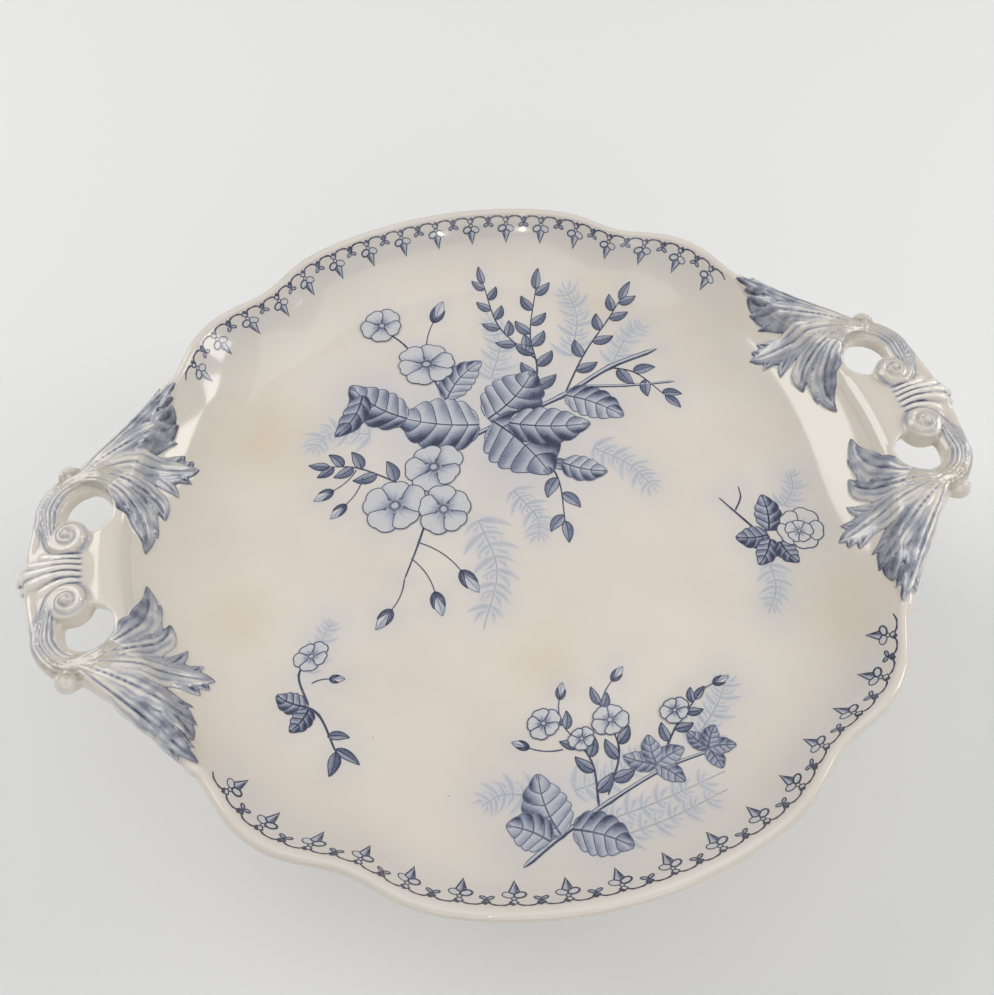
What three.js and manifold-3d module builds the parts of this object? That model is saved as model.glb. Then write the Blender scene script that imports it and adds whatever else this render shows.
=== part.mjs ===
// A two-handled footed dish in glazed earthenware. Millimetres, +Z up.
// The origin is on the dish's axis, in the plane that the foot stands on, and +X points to a handle.
// The pieces are formed apart and luted together: dish, pedestal, two pierced handles,
// a leaf sprig over each root of a handle, and a shell over the middle of each handle.

import * as THREE from 'three';
import { mergeVertices } from 'three/addons/utils/BufferGeometryUtils.js';
import Module from 'manifold-3d';

const degree = Math.PI / 180;

// Every two pieces that meet keep this gap, the slip joint between them
const slipGap = 0.3;

// Dish: a lobed rim over a shallow well
const rimHeight = 118;          // foot plane to the top of the rim at a notch
const lobeRadius = 145;         // axis to the rim in the middle of the wide front and back lobes
const sideSpread = 2.2;         // how much further out the small lobes beside the handles reach
const notchDepth = 5.1;         // how far a notch dips in from the lobes
const notchSpread = 7 * degree; // half-width of a notch
const handleNotch = 33.5 * degree; // from the handle's middle to the notch where its leaf ends
const lobeNotch = 56.5 * degree;   // from the handle's middle to the notch at the wide lobe
const lobeLift = 1.2;           // how much higher the lobes stand than the notches
const wellDepth = 22;           // rim to the floor of the well
const wallPower = 9;            // how sharply the wall turns up out of the floor
const floorThickness = 6;
const rimRoll = 2.3;            // radius of the rolled edge
const fluteStart = 85;          // radius where the flutes below the notches fade out
const fluteFade = 1.5;          // power by which the flutes deepen towards the rim
const wallThinning = 3;         // power by which the wall thins from the floor to the rim

// Pedestal: a hollow turned stem on a spreading foot
const collarRadius = 33;        // top of the stem, against the dish
const collarHeight = 5;
const collarCurveIn = 0.72;     // of the collar's radius, where the curve below it heads for the stem
const collarCurveDrop = 3;      // how far below the collar that is
const stemCurveDrop = 8;        // how far below the collar the curve has come in to the stem
const seatRingWidth = 4;        // ring under the dish that holds the collar
const seatRingHeight = 2.5;
const stemRadius = 17;
const knopRadius = 5;           // bead round the waist of the stem
const knopHeight = 56;
const footRadius = 66;
const footEdge = 5;             // radius of the foot's rounded edge
const footStepHeight = 3;       // small step round the top of the foot
const footStepWidth = 4;
const footCurveIn = 0.55;       // of the foot's radius, where the spread of the foot flattens out
const footCurveHeight = 0.5;    // of the knop's lower edge, where the stem starts to spread
const footRingWidth = 8;        // flat ring that the dish stands on
const footRingTaper = 2;        // how far in the hollow's edge leans above the ring
const stemWall = 5.5;
const hollowCurveIn = 0.5;      // of the foot's radius, where the hollow narrows
const hollowCurveHeight = 0.45; // of the knop's lower edge, where the hollow has become the bore

// Handles: a pair of scrolls round two finger holes
const handleReach = 172.5;      // axis to the tip of the shell
const holeOffset = 22.8;        // middle of the handle to the middle of a finger hole
const holeRadius = 8.6;
const strapWidth = 10;
const strapThickness = 9;
const strapRootTurn = 165 * degree; // round the finger hole, where the strap sinks into the rim
const strapRootWidth = 5;
const strapRootThickness = 6.3;
const strapRootDrop = 2.2;
const strapFullTurn = 122 * degree; // round the finger hole, where the strap has its full width
const voluteOffset = 12.8;      // middle of the handle to the eye of a volute
const voluteSetBack = 2.9;      // from the outer edge of the finger hole in to the eye of a volute
const voluteRadius = 5.6;       // eye to the middle of the strap where the volute starts
const voluteEndRadius = 3.2;
const voluteTurn = 285 * degree;
const voluteStartWidth = 6.2;
const voluteEndWidth = 2.6;
const voluteTaper = 0.6;        // power by which the volute's strap narrows
const voluteRise = 1.6;         // how far the volute stands above the strap
const drumInset = 0.6;          // how far the disc inside a volute stays within its first turn
const drumRecess = 1;           // how much lower than the strap the disc is
const eyeRadius = 1.9;
const eyeSink = 0.4;            // how far the eye's middle lies below the top of the strap
const eyeStretch = 1.2;
const knobRadius = 4.4;         // bud where the leaf turns out
const knobSink = 0.44;          // how far its middle lies inside the strap's outer edge
const knobLift = 0.8;
const knobTurn = 70 * degree;   // round the finger hole, from the outside
const hornStart = 82 * degree;  // round the finger hole, where the root leaves the strap
const hornRootAngle = 17 * degree; // about the dish's axis, from the handle's middle
const hornEndAngle = 30 * degree;
const hornRootWidth = 14;
const hornEndWidth = 4;
const hornEndThickness = 5.4;
const hornOverhang = 11.5;      // how far the root stands out from the rim
const hornDrop = 0.6;           // how far the root sinks towards its end
const webThickness = 5;
const webHalfWidth = 13.5;      // plate between the finger holes, at the rim
const webWaistHalfWidth = 9.6;
const webEndHalfWidth = 7.7;
const webWaistLength = 4;       // either side of the waist
const webLap = 2;               // how far the plate runs in under the rim
const webSetBack = 8;           // from the shell's tip in to the end of the plate

// Leaf sprigs: the lobes spread from a boss over the root of the handle
const leafReach = 21;           // how far inside the rim the longest lobe's tip lies
const leafWidth = 9.5;          // the widest lobe
// By lobe: degrees from the handle's middle to the tip, and shares of the reach and of the width
const leafLobes = [
  { angle: 3, reach: 0.45, width: 0.84 },
  { angle: 9.5, reach: 0.64, width: 0.84 },
  { angle: 14.5, reach: 0.79, width: 0.84 },
  { angle: 21.3, reach: 1, width: 1 },
  { angle: 27, reach: 0.48, width: 0.95 },
  { angle: 32, reach: 0.21, width: 0.63 },
];
const leafRootAngle = 16.5;     // degrees
const leafRootInset = 8;
const leafBendRoot = 0.4;       // a lobe's bend lies inside the rim by this share of its root's inset
const leafBendTip = 0.35;       // and this share of its tip's
const leafThickness = 2.6;
const lobeOutlineStart = 0.28;  // a lobe's outline follows this part of half a sine wave
const lobeOutlineSpan = 0.68;
const lobeTipWidth = 0.1;       // of its width
const lobeRootThickness = 0.6;  // of its thickness
const lobeCrown = 1.1;
const lobeTipThinning = 0.2;
const leafLift = slipGap + 0.35; // clears the flat facets of the wall as well
const leafPadRadius = 6.5;      // boss at the root that the lobes spring from
const leafPadThickness = 3.12;

// Shell over the middle of a handle
const shellRibs = 5;
const shellRibWidth = 4.2;      // and from rib to rib at the outer end
const shellRibThickness = 5;
const shellCrown = 6.5;         // above the rim
const shellLength = 26;
const shellRounding = 0.9;      // how much shorter the rib next to the middle one is
// Along a rib: shares of its length; drop below the crown and thickness as shares of the rib's
// thickness; and its distance to the next rib and width as shares of the rib's width
const shellStations = [
  { along: 0, drop: 0.72, spread: 0.57, width: 0.71, thickness: 0.7 },
  { along: 0.3, drop: 0.42, spread: 0.57, width: 0.74, thickness: 1 },
  { along: 0.65, drop: 0.62, spread: 0.75, width: 1, thickness: 1 },
  { along: 0.9, drop: 1.06, spread: 1, width: 1.15, thickness: 0.9 },
  { along: 0.96, drop: 1.5, spread: 1, width: 0.7, thickness: 0.4 },
];

// How finely round forms are divided
const dishSegments = 72;
const pedestalSegments = 28;
const pedestalCurveSteps = 3;
const scrollSteps = 22;
const hornSteps = 5;
const strapSides = 8;
const drumSides = 12;
const ballSides = 8;
const ballBands = 4;
const ribSteps = 5;
const ribSides = 6;
const lobeSteps = 5;
const lobeSides = 6;
const solveSteps = 40;          // rounds in which the wall's curve settles

const wasm = await Module();
wasm.setup();

// A manifold solid from a geometry whose shared vertices are merged, without its collapsed triangles
function solidFrom(geometry) {
  const bare = new THREE.BufferGeometry();
  bare.setAttribute('position', geometry.getAttribute('position'));
  bare.setIndex(geometry.getIndex());
  const merged = mergeVertices(bare, 1e-4);
  const corners = merged.getIndex().array;
  const triVerts = [];
  for (let i = 0; i < corners.length; i += 3) {
    const [a, b, c] = corners.subarray(i, i + 3);
    if (a !== b && b !== c && c !== a) triVerts.push(a, b, c);
  }
  return new wasm.Manifold(new wasm.Mesh({
    numProp: 3,
    vertProperties: new Float32Array(merged.getAttribute('position').array),
    triVerts: new Uint32Array(triVerts),
  }));
}

function geometryFrom(solid) {
  const mesh = solid.getMesh();
  const geometry = new THREE.BufferGeometry();
  geometry.setAttribute('position', new THREE.BufferAttribute(mesh.vertProperties, 3));
  geometry.setIndex(new THREE.BufferAttribute(mesh.triVerts, 1));
  return geometry;
}

const joined = (solids) => solids.reduce((sum, solid) => sum.add(solid));

// A turned solid: the profile's points are (radius, height), from the axis and back to it
function turned(points, segments) {
  const geometry = new THREE.LatheGeometry(points, segments);
  geometry.rotateX(Math.PI / 2);
  return geometry;
}

// A closed skin over rings of points that run anticlockwise about the direction of travel
function loft(rings) {
  const sides = rings[0].length;
  const last = rings.length - 1;
  const points = rings.flat();
  const index = [];
  for (let i = 0; i < last; i++) {
    for (let j = 0; j < sides; j++) {
      const a = i * sides + j;
      const b = i * sides + (j + 1) % sides;
      index.push(a, b, b + sides, a, b + sides, a + sides);
    }
  }
  for (let j = 1; j < sides - 1; j++) {
    index.push(0, j + 1, j);
    index.push(last * sides, last * sides + j, last * sides + j + 1);
  }
  const geometry = new THREE.BufferGeometry().setFromPoints(points);
  geometry.setIndex(index);
  return geometry;
}

// A strap of oval section along a smooth line through keys of { point, width, height }
function strap(keys, steps, sides, grow = 0) {
  const path = new THREE.CatmullRomCurve3(keys.map((key) => key.point));
  const sizes = new THREE.CatmullRomCurve3(
    keys.map((key) => new THREE.Vector3(key.width, key.height, 0)),
  );
  const rings = [];
  for (let i = 0; i <= steps; i++) {
    const t = i / steps;
    const middle = path.getPoint(t);
    const ahead = path.getTangent(t);
    const size = sizes.getPoint(t);
    const up = new THREE.Vector3(0, 0, 1).addScaledVector(ahead, -ahead.z).normalize();
    const side = new THREE.Vector3().crossVectors(up, ahead);
    const ring = [];
    for (let j = 0; j < sides; j++) {
      const turn = (j / sides) * 2 * Math.PI;
      ring.push(middle.clone()
        .addScaledVector(side, (size.x / 2 + grow) * Math.cos(turn))
        .addScaledVector(up, (size.y / 2 + grow) * Math.sin(turn)));
    }
    rings.push(ring);
  }
  return solidFrom(loft(rings));
}

// How much of a notch there is at an angle about the axis: 0 on a lobe, 1 in a notch and behind a handle
const foldAngle = (angle) => Math.atan2(Math.abs(Math.sin(angle)), Math.abs(Math.cos(angle)));

function notchAt(angle) {
  const fold = foldAngle(angle);
  const bell = (away) => Math.exp(-((away / notchSpread) ** 2));
  const besideHandle = fold < handleNotch ? 1 : bell(fold - handleNotch);
  return besideHandle + bell(fold - lobeNotch);
}

// How far the rim lies outside the plain turned circle of the wide lobes
function edgeShift(angle) {
  const wideLobe = Math.PI / 2 - notchSpread * 2;
  const sideLobe = 1 - THREE.MathUtils.smoothstep(foldAngle(angle), handleNotch, wideLobe);
  return sideSpread * sideLobe - notchDepth * notchAt(angle);
}

const edgeRadius = (angle) => lobeRadius + edgeShift(angle);

// The flutes: how far a point of the plain turned wall follows the notches
function fluteShare(radius) {
  const share = THREE.MathUtils.clamp((radius - fluteStart) / (lobeRadius - fluteStart), 0, 1);
  return share ** fluteFade;
}

// The wall rises from the floor as a power of the radius, and ends at the rolled edge
const wallCurve = (() => {
  let rise = wellDepth;
  let end = lobeRadius;
  let slope = 0;
  for (let i = 0; i < solveSteps; i++) {
    slope = Math.atan((rise * wallPower * (end / lobeRadius) ** (wallPower - 1)) / lobeRadius);
    end = lobeRadius - rimRoll * (1 + Math.sin(slope));
    rise = (wellDepth - rimRoll * (1 - Math.cos(slope))) / (end / lobeRadius) ** wallPower;
  }
  return { rise, end, slope };
})();
const floorHeight = rimHeight - wellDepth;
const underside = floorHeight - floorThickness;

const wallHeight = (radius) => floorHeight + wallCurve.rise * (radius / lobeRadius) ** wallPower;
const rollHeight = (radius) =>
  rimHeight - rimRoll + Math.sqrt(Math.max(rimRoll ** 2 - (radius - lobeRadius + rimRoll) ** 2, 0));
const wallSlope = (radius) =>
  Math.atan((wallCurve.rise * wallPower * (radius / lobeRadius) ** (wallPower - 1)) / lobeRadius);

// The inside of the dish, up to the top of its rolled edge, over a point of the plan
function surfaceHeight(x, y) {
  const angle = Math.atan2(y, x);
  const planRadius = Math.hypot(x, y);
  let radius = planRadius;
  for (let i = 0; i < solveSteps; i++) radius = planRadius - edgeShift(angle) * fluteShare(radius);
  const plain = radius < wallCurve.end ? wallHeight(radius) : rollHeight(radius);
  return plain + lobeLift * (1 - notchAt(angle)) * fluteShare(radius);
}

function surfaceNormal(x, y) {
  const step = 0.05;
  const alongX = (surfaceHeight(x + step, y) - surfaceHeight(x - step, y)) / (2 * step);
  const alongY = (surfaceHeight(x, y + step) - surfaceHeight(x, y - step)) / (2 * step);
  return new THREE.Vector3(-alongX, -alongY, 1).normalize();
}

// The dish's profile; grow fattens it into the cutter that keeps its neighbours clear
function dishProfile(grow) {
  const wallSteps = 8;
  const rollSteps = 5;
  const stepPower = 0.3;
  const stepRadius = (i) => wallCurve.end * (i / wallSteps) ** stepPower;
  const thickness = (radius) =>
    THREE.MathUtils.lerp(floorThickness, 2 * rimRoll, (radius / wallCurve.end) ** wallThinning);
  const offset = (radius, away) => new THREE.Vector2(
    radius - away * Math.sin(wallSlope(radius)),
    wallHeight(radius) + away * Math.cos(wallSlope(radius)),
  );
  const points = [new THREE.Vector2(0, floorHeight + grow)];
  for (let i = 1; i < wallSteps; i++) points.push(offset(stepRadius(i), grow));
  const rollCentre = offset(wallCurve.end, -rimRoll);
  for (let i = 0; i <= rollSteps; i++) {
    const turn = Math.PI / 2 + wallCurve.slope - (i / rollSteps) * Math.PI;
    const outward = new THREE.Vector2(Math.cos(turn), Math.sin(turn));
    points.push(outward.multiplyScalar(rimRoll + grow).add(rollCentre));
  }
  const ringInner = collarRadius + slipGap - grow;
  const ringOuter = collarRadius + slipGap + seatRingWidth + grow;
  for (let i = wallSteps - 1; i > 0; i--) {
    const radius = stepRadius(i);
    if (radius > ringOuter + seatRingHeight) points.push(offset(radius, -thickness(radius) - grow));
  }
  points.push(
    new THREE.Vector2(ringOuter, underside - grow),
    new THREE.Vector2(ringOuter, underside - seatRingHeight - grow),
    new THREE.Vector2(ringInner, underside - seatRingHeight - grow),
    new THREE.Vector2(ringInner, underside - grow),
    new THREE.Vector2(0, underside - grow),
  );
  return points.reverse();
}

function dishSolid(grow = 0) {
  const geometry = turned(dishProfile(grow), dishSegments);
  const position = geometry.getAttribute('position');
  for (let i = 0; i < position.count; i++) {
    const x = position.getX(i);
    const y = position.getY(i);
    const radius = Math.hypot(x, y);
    if (radius < fluteStart) continue;
    const angle = Math.atan2(y, x);
    const share = fluteShare(radius);
    const scale = 1 + (edgeShift(angle) * share) / radius;
    position.setXYZ(i, x * scale, y * scale, position.getZ(i) + lobeLift * (1 - notchAt(angle)) * share);
  }
  return solidFrom(geometry);
}

function pedestalSolid() {
  const top = underside - slipGap;
  const collarFoot = top - collarHeight;
  const knopTop = knopHeight + knopRadius;
  const knopFoot = knopHeight - knopRadius;
  const footTop = 2 * footEdge;
  const edgeMiddle = footRadius - footEdge;
  const stepRadius = edgeMiddle - footStepWidth;
  const stepTop = footTop + footStepHeight;
  const ringInner = edgeMiddle - footRingWidth;
  const boreRadius = stemRadius - stemWall;
  const boreTop = collarFoot - stemWall;
  const outside = new THREE.Path();
  outside.moveTo(0, top);
  outside.lineTo(collarRadius, top);
  outside.lineTo(collarRadius, collarFoot);
  outside.bezierCurveTo(
    collarRadius * collarCurveIn, collarFoot - collarCurveDrop,
    stemRadius, collarFoot - stemCurveDrop,
    stemRadius, knopTop,
  );
  outside.absarc(stemRadius, knopHeight, knopRadius, Math.PI / 2, -Math.PI / 2, true);
  outside.bezierCurveTo(
    stemRadius, knopFoot * footCurveHeight,
    edgeMiddle * footCurveIn, stepTop + footStepHeight,
    stepRadius, stepTop,
  );
  outside.lineTo(stepRadius, footTop);
  outside.lineTo(edgeMiddle, footTop);
  outside.absarc(edgeMiddle, footEdge, footEdge, Math.PI / 2, -Math.PI / 2, true);
  outside.lineTo(ringInner, 0);
  outside.lineTo(ringInner - footRingTaper, footEdge);
  outside.bezierCurveTo(
    edgeMiddle * hollowCurveIn, footTop,
    boreRadius, knopFoot * hollowCurveHeight,
    boreRadius, knopFoot,
  );
  outside.lineTo(boreRadius, boreTop);
  outside.lineTo(0, boreTop);
  return solidFrom(turned(outside.getPoints(pedestalCurveSteps).reverse(), pedestalSegments));
}

// Places in a handle that points along +X; mirror is 1 for its +Y half and -1 for the other
const handleEdge = edgeRadius(0);
const holeMiddle = Math.sqrt(handleEdge ** 2 - holeOffset ** 2) + holeRadius;
const voluteMiddle = holeMiddle + holeRadius - voluteSetBack;
const inPlan = (x, y, height) => new THREE.Vector3(x, y, rimHeight + height);

// A place round the finger hole, by its turn from the outside and its distance from the hole's middle
const roundHole = (turn, away, height) =>
  inPlan(holeMiddle + away * Math.cos(turn), holeOffset + away * Math.sin(turn), height);
const strapRounding = holeRadius + strapWidth / 2;

// The strap comes off the rim, rounds the finger hole and curls into the volute
function scrollKeys() {
  const keys = [{
    point: roundHole(strapRootTurn, holeRadius + strapRootWidth / 2, -strapRootDrop),
    width: strapRootWidth,
    height: strapRootThickness,
  }];
  const bends = 5;
  for (let i = 0; i <= bends; i++) {
    keys.push({
      point: roundHole(strapFullTurn * (1 - i / bends), strapRounding, 0),
      width: strapWidth,
      height: strapThickness,
    });
  }
  const curls = 7;
  for (let i = 0; i <= curls; i++) {
    const t = i / curls;
    const radius = THREE.MathUtils.lerp(voluteRadius, voluteEndRadius, t);
    const x = voluteMiddle + radius * Math.cos(t * voluteTurn);
    const y = voluteOffset - radius * Math.sin(t * voluteTurn);
    keys.push({
      point: inPlan(x, y, voluteRise * t),
      width: THREE.MathUtils.lerp(voluteStartWidth, voluteEndWidth, t ** voluteTaper),
      height: strapThickness,
    });
  }
  return keys;
}

// The root of the strap spreads over the rim and tapers out along it, where the leaf ends
function hornKeys() {
  const keys = [{
    point: roundHole(hornStart, strapRounding, 0),
    width: strapWidth,
    height: strapThickness,
  }];
  const bends = 4;
  for (let i = 0; i <= bends; i++) {
    const t = i / bends;
    const angle = THREE.MathUtils.lerp(hornRootAngle, hornEndAngle, t);
    const width = THREE.MathUtils.lerp(hornRootWidth, hornEndWidth, t);
    const overhang = hornOverhang * (1 - t) ** 2;
    const radius = edgeRadius(angle) + overhang - width / 2;
    keys.push({
      point: inPlan(radius * Math.cos(angle), radius * Math.sin(angle), -hornDrop * t),
      width,
      height: THREE.MathUtils.lerp(strapThickness, hornEndThickness, t),
    });
  }
  return keys;
}

// The plate that ties the rim, the volutes and the shell together
function webSolid(grow) {
  const inner = handleEdge - webLap - grow;
  const waist = voluteMiddle - voluteRadius;
  const end = handleReach - webSetBack + grow;
  const side = webHalfWidth + grow;
  const waistSide = webWaistHalfWidth + grow;
  const endSide = webEndHalfWidth + grow;
  const plan = new THREE.Shape();
  plan.moveTo(inner, -side);
  plan.quadraticCurveTo(waist - webWaistLength, -side, waist + webWaistLength, -waistSide);
  plan.lineTo(end, -endSide);
  plan.lineTo(end, endSide);
  plan.lineTo(waist + webWaistLength, waistSide);
  plan.quadraticCurveTo(waist - webWaistLength, side, inner, side);
  plan.closePath();
  const depth = webThickness + 2 * grow;
  const geometry = new THREE.ExtrudeGeometry(plan, { depth, bevelEnabled: false, curveSegments: 5 });
  geometry.translate(0, 0, rimHeight - strapThickness / 2 - grow);
  return solidFrom(indexed(geometry));
}

function indexed(geometry) {
  geometry.deleteAttribute('normal');
  geometry.deleteAttribute('uv');
  return mergeVertices(geometry, 1e-4);
}

function ball(radius, middle, stretch) {
  const geometry = new THREE.SphereGeometry(radius, ballSides, ballBands);
  geometry.scale(1, 1, stretch);
  geometry.translate(middle.x, middle.y, middle.z);
  return solidFrom(indexed(geometry));
}

function voluteDrum(grow) {
  const height = strapThickness - drumRecess + 2 * grow;
  const radius = voluteRadius - drumInset + grow;
  const geometry = new THREE.CylinderGeometry(radius, radius, height, drumSides);
  geometry.rotateX(Math.PI / 2);
  geometry.translate(voluteMiddle, voluteOffset, rimHeight - drumRecess / 2);
  return solidFrom(indexed(geometry));
}

// The same geometry on the other side of the XZ plane
function mirrored(geometry) {
  const twin = geometry.clone();
  twin.scale(1, -1, 1);
  twin.getIndex().array.reverse();
  return twin;
}

const flip = (solid) => solidFrom(mirrored(geometryFrom(solid)));

// One whole handle on the +X side, before the dish is cut out of it
function handleBlank(grow = 0) {
  const eyeMiddle = inPlan(voluteMiddle, voluteOffset, strapThickness / 2 - eyeSink);
  const knobMiddle = roundHole(knobTurn, holeRadius + strapWidth - knobSink, knobLift);
  const half = joined([
    strap(scrollKeys(), scrollSteps, strapSides, grow),
    strap(hornKeys(), hornSteps, strapSides, grow),
    voluteDrum(grow),
    ball(eyeRadius + grow, eyeMiddle, eyeStretch),
    ball(knobRadius + grow, knobMiddle, 1),
  ]);
  return joined([half, flip(half), webSolid(grow)]);
}

// A point of the leaf's plan: degrees from the handle's middle, and distance inside the rim
function onRim(angle, inset) {
  const turn = angle * degree;
  const radius = edgeRadius(turn) - inset;
  return new THREE.Vector2(radius * Math.cos(turn), radius * Math.sin(turn));
}

function onSurface(x, y, lift) {
  return new THREE.Vector3(x, y, surfaceHeight(x, y)).addScaledVector(surfaceNormal(x, y), lift);
}

// One lobe of a leaf: a tapering tongue with a raised middle, laid on the wall of the dish
function leafLobe({ angle, reach, width }) {
  const tipInset = leafReach * reach;
  const bendAngle = (leafRootAngle + angle * 2) / 3;
  const bendInset = leafRootInset * leafBendRoot + tipInset * leafBendTip;
  const path = new THREE.QuadraticBezierCurve(
    onRim(leafRootAngle, leafRootInset),
    onRim(bendAngle, bendInset),
    onRim(angle, tipInset),
  );
  const rings = [];
  for (let i = 0; i <= lobeSteps; i++) {
    const t = i / lobeSteps;
    const middle = path.getPoint(t);
    const ahead = path.getTangent(t);
    const outline = Math.sin(Math.PI * (lobeOutlineStart + lobeOutlineSpan * t));
    const halfWidth = ((leafWidth * width) / 2) * Math.max(outline, lobeTipWidth);
    const fullness = lobeRootThickness + lobeCrown * t * (1 - t) - lobeTipThinning * t;
    const ring = [];
    for (let j = 0; j < lobeSides; j++) {
      const turn = (j / lobeSides) * 2 * Math.PI;
      const across = -halfWidth * Math.cos(turn);
      const lift = leafLift + ((leafThickness * fullness) / 2) * (1 - Math.sin(turn));
      ring.push(onSurface(middle.x + ahead.y * across, middle.y - ahead.x * across, lift));
    }
    rings.push(ring.reverse());
  }
  return solidFrom(loft(rings));
}

function leafPad() {
  const centre = onRim(leafRootAngle, leafRootInset);
  const geometry = indexed(new THREE.SphereGeometry(leafPadRadius, ballSides, ballBands));
  geometry.rotateX(Math.PI / 2);
  const position = geometry.getAttribute('position');
  for (let i = 0; i < position.count; i++) {
    const lift = leafLift + (leafPadThickness / 2) * (1 + position.getZ(i) / leafPadRadius);
    const point = onSurface(centre.x + position.getX(i), centre.y + position.getY(i), lift);
    position.setXYZ(i, point.x, point.y, point.z);
  }
  return solidFrom(geometry);
}

// A fan of ribs that ties the two scrolls and turns down over the outer edge
function shellBlank() {
  const ribs = [];
  const middleRib = (shellRibs - 1) / 2;
  for (let i = 0; i < shellRibs; i++) {
    const k = i - middleRib;
    const length = shellLength - shellRounding * k * k;
    const keys = shellStations.map(({ along, drop, spread, width, thickness }) => ({
      point: inPlan(
        handleReach - shellLength + length * along,
        shellRibWidth * spread * k,
        shellCrown - shellRibThickness * drop,
      ),
      width: shellRibWidth * width,
      height: shellRibThickness * thickness,
    }));
    ribs.push(strap(keys, ribSteps, ribSides));
  }
  return joined(ribs);
}

const glaze = (name, color, roughness) =>
  new THREE.MeshStandardMaterial({ name, color, roughness, metalness: 0 });

function addPiece(parent, name, solid, material) {
  const mesh = new THREE.Mesh(geometryFrom(solid), material);
  mesh.name = name;
  parent.add(mesh);
}

const compote = new THREE.Group();
addPiece(compote, 'dish', dishSolid(), glaze('ivory glaze', '#d9d2c5', 0.12));
addPiece(compote, 'pedestal', pedestalSolid(), glaze('ivory glaze', '#d9d2c5', 0.14));

const dishCutter = dishSolid(slipGap);
const handle = handleBlank().subtract(dishCutter);
const handleCutter = handleBlank(slipGap);
const leaf = joined([leafPad(), ...leafLobes.map(leafLobe)]).subtract(handleCutter);
const shell = shellBlank().subtract(handleCutter).subtract(dishCutter);

// The two handles are alike, half a turn apart
for (const [side, turn] of [['right', 0], ['left', Math.PI]]) {
  const half = new THREE.Group();
  half.rotation.z = turn;
  addPiece(half, `${side}_handle`, handle, glaze('washed ivory glaze', '#cfcac3', 0.16));
  addPiece(half, `${side}_shell`, shell, glaze('washed ivory glaze', '#c9c6c4', 0.16));
  const [ahead, behind] = turn === 0 ? ['back', 'front'] : ['front', 'back'];
  addPiece(half, `${side}_leaf_${ahead}`, leaf, glaze('blue-washed glaze', '#a3aabc', 0.16));
  addPiece(half, `${side}_leaf_${behind}`, flip(leaf), glaze('blue-washed glaze', '#a3aabc', 0.16));
  compote.add(half);
}

export default compote;
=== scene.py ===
import math
import bpy
import numpy as np
import openvdb
from mathutils import Matrix


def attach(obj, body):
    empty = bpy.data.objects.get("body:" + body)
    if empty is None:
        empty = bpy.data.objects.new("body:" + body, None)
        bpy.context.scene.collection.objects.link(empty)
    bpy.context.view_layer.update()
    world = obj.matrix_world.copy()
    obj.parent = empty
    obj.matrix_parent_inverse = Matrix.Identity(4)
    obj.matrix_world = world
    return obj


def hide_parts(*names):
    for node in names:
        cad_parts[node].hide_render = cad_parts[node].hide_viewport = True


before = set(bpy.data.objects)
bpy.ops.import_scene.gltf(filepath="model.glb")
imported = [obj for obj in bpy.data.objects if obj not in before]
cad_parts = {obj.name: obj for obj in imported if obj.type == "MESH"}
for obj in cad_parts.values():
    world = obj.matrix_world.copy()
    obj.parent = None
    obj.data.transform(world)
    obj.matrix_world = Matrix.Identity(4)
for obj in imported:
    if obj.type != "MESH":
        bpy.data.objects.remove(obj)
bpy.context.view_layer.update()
mm = 0.001  # the part is drawn in millimetres


# Shared helpers
def smoothStep(low, high, value):
    share = np.clip((value - low) / (high - low), 0, 1)
    return share * share * (3 - 2 * share)


def bell(away, width):
    return np.exp(-(away / width) ** 2)


def smoothLine(keys, steps):
    keys = np.asarray(keys, float)
    padded = np.vstack([2 * keys[0] - keys[1], keys, 2 * keys[-1] - keys[-2]])
    t = np.linspace(0, 1, steps, endpoint=False)[:, None]
    rows = []
    for a, b, c, d in zip(padded, padded[1:], padded[2:], padded[3:]):
        rows.append(0.5 * (2 * b + (c - a) * t + (2 * a - 5 * b + 4 * c - d) * t ** 2
                           + (3 * b - a - 3 * c + d) * t ** 3))
    rows.append(keys[-1:])
    return np.vstack(rows)


def meshPiece(name, points, faces, material, body="root"):
    mesh = bpy.data.meshes.new(name)
    mesh.from_pydata((np.asarray(points) * mm).tolist(), [], [list(face) for face in faces])
    mesh.polygons.foreach_set("use_smooth", [True] * len(mesh.polygons))
    mesh.update()
    mesh.materials.append(material)
    piece = bpy.data.objects.new(name, mesh)
    bpy.context.collection.objects.link(piece)
    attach(piece, body)
    return piece


def paint(piece, name, values):
    layer = piece.data.attributes.new(name, "FLOAT", "POINT")
    layer.data.foreach_set("value", np.asarray(values, np.float32))


def turnedFaces(rings, segments):
    row = np.arange(segments)
    ahead = np.roll(row, -1)
    faces = []
    for i in range(rings - 1):
        a, b = i * segments, (i + 1) * segments
        faces.extend(np.stack([a + row, a + ahead, b + ahead, b + row], 1).tolist())
    return faces


# the first and last points of a profile lie on the axis
def turnedPiece(name, profile, segments, material, warp=None):
    turn = np.linspace(0, 2 * math.pi, segments, endpoint=False)
    profile = np.asarray(profile, float)
    angle = np.tile(turn, len(profile) - 2)
    radius, height = np.repeat(profile[1:-1, 0], segments), np.repeat(profile[1:-1, 1], segments)
    if warp:
        radius, height = warp(radius, angle, height)
    points = np.stack([radius * np.cos(angle), radius * np.sin(angle), height], 1)
    faces = turnedFaces(len(profile) - 2, segments)
    top, bottom = len(points), len(points) + 1
    last = len(points) - segments
    for i in range(segments):
        j = (i + 1) % segments
        faces.append([top, j, i])
        faces.append([bottom, last + i, last + j])
    points = np.vstack([points, [[0, 0, profile[0, 1]], [0, 0, profile[-1, 1]]]])
    return meshPiece(name, points, faces, material)


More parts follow.
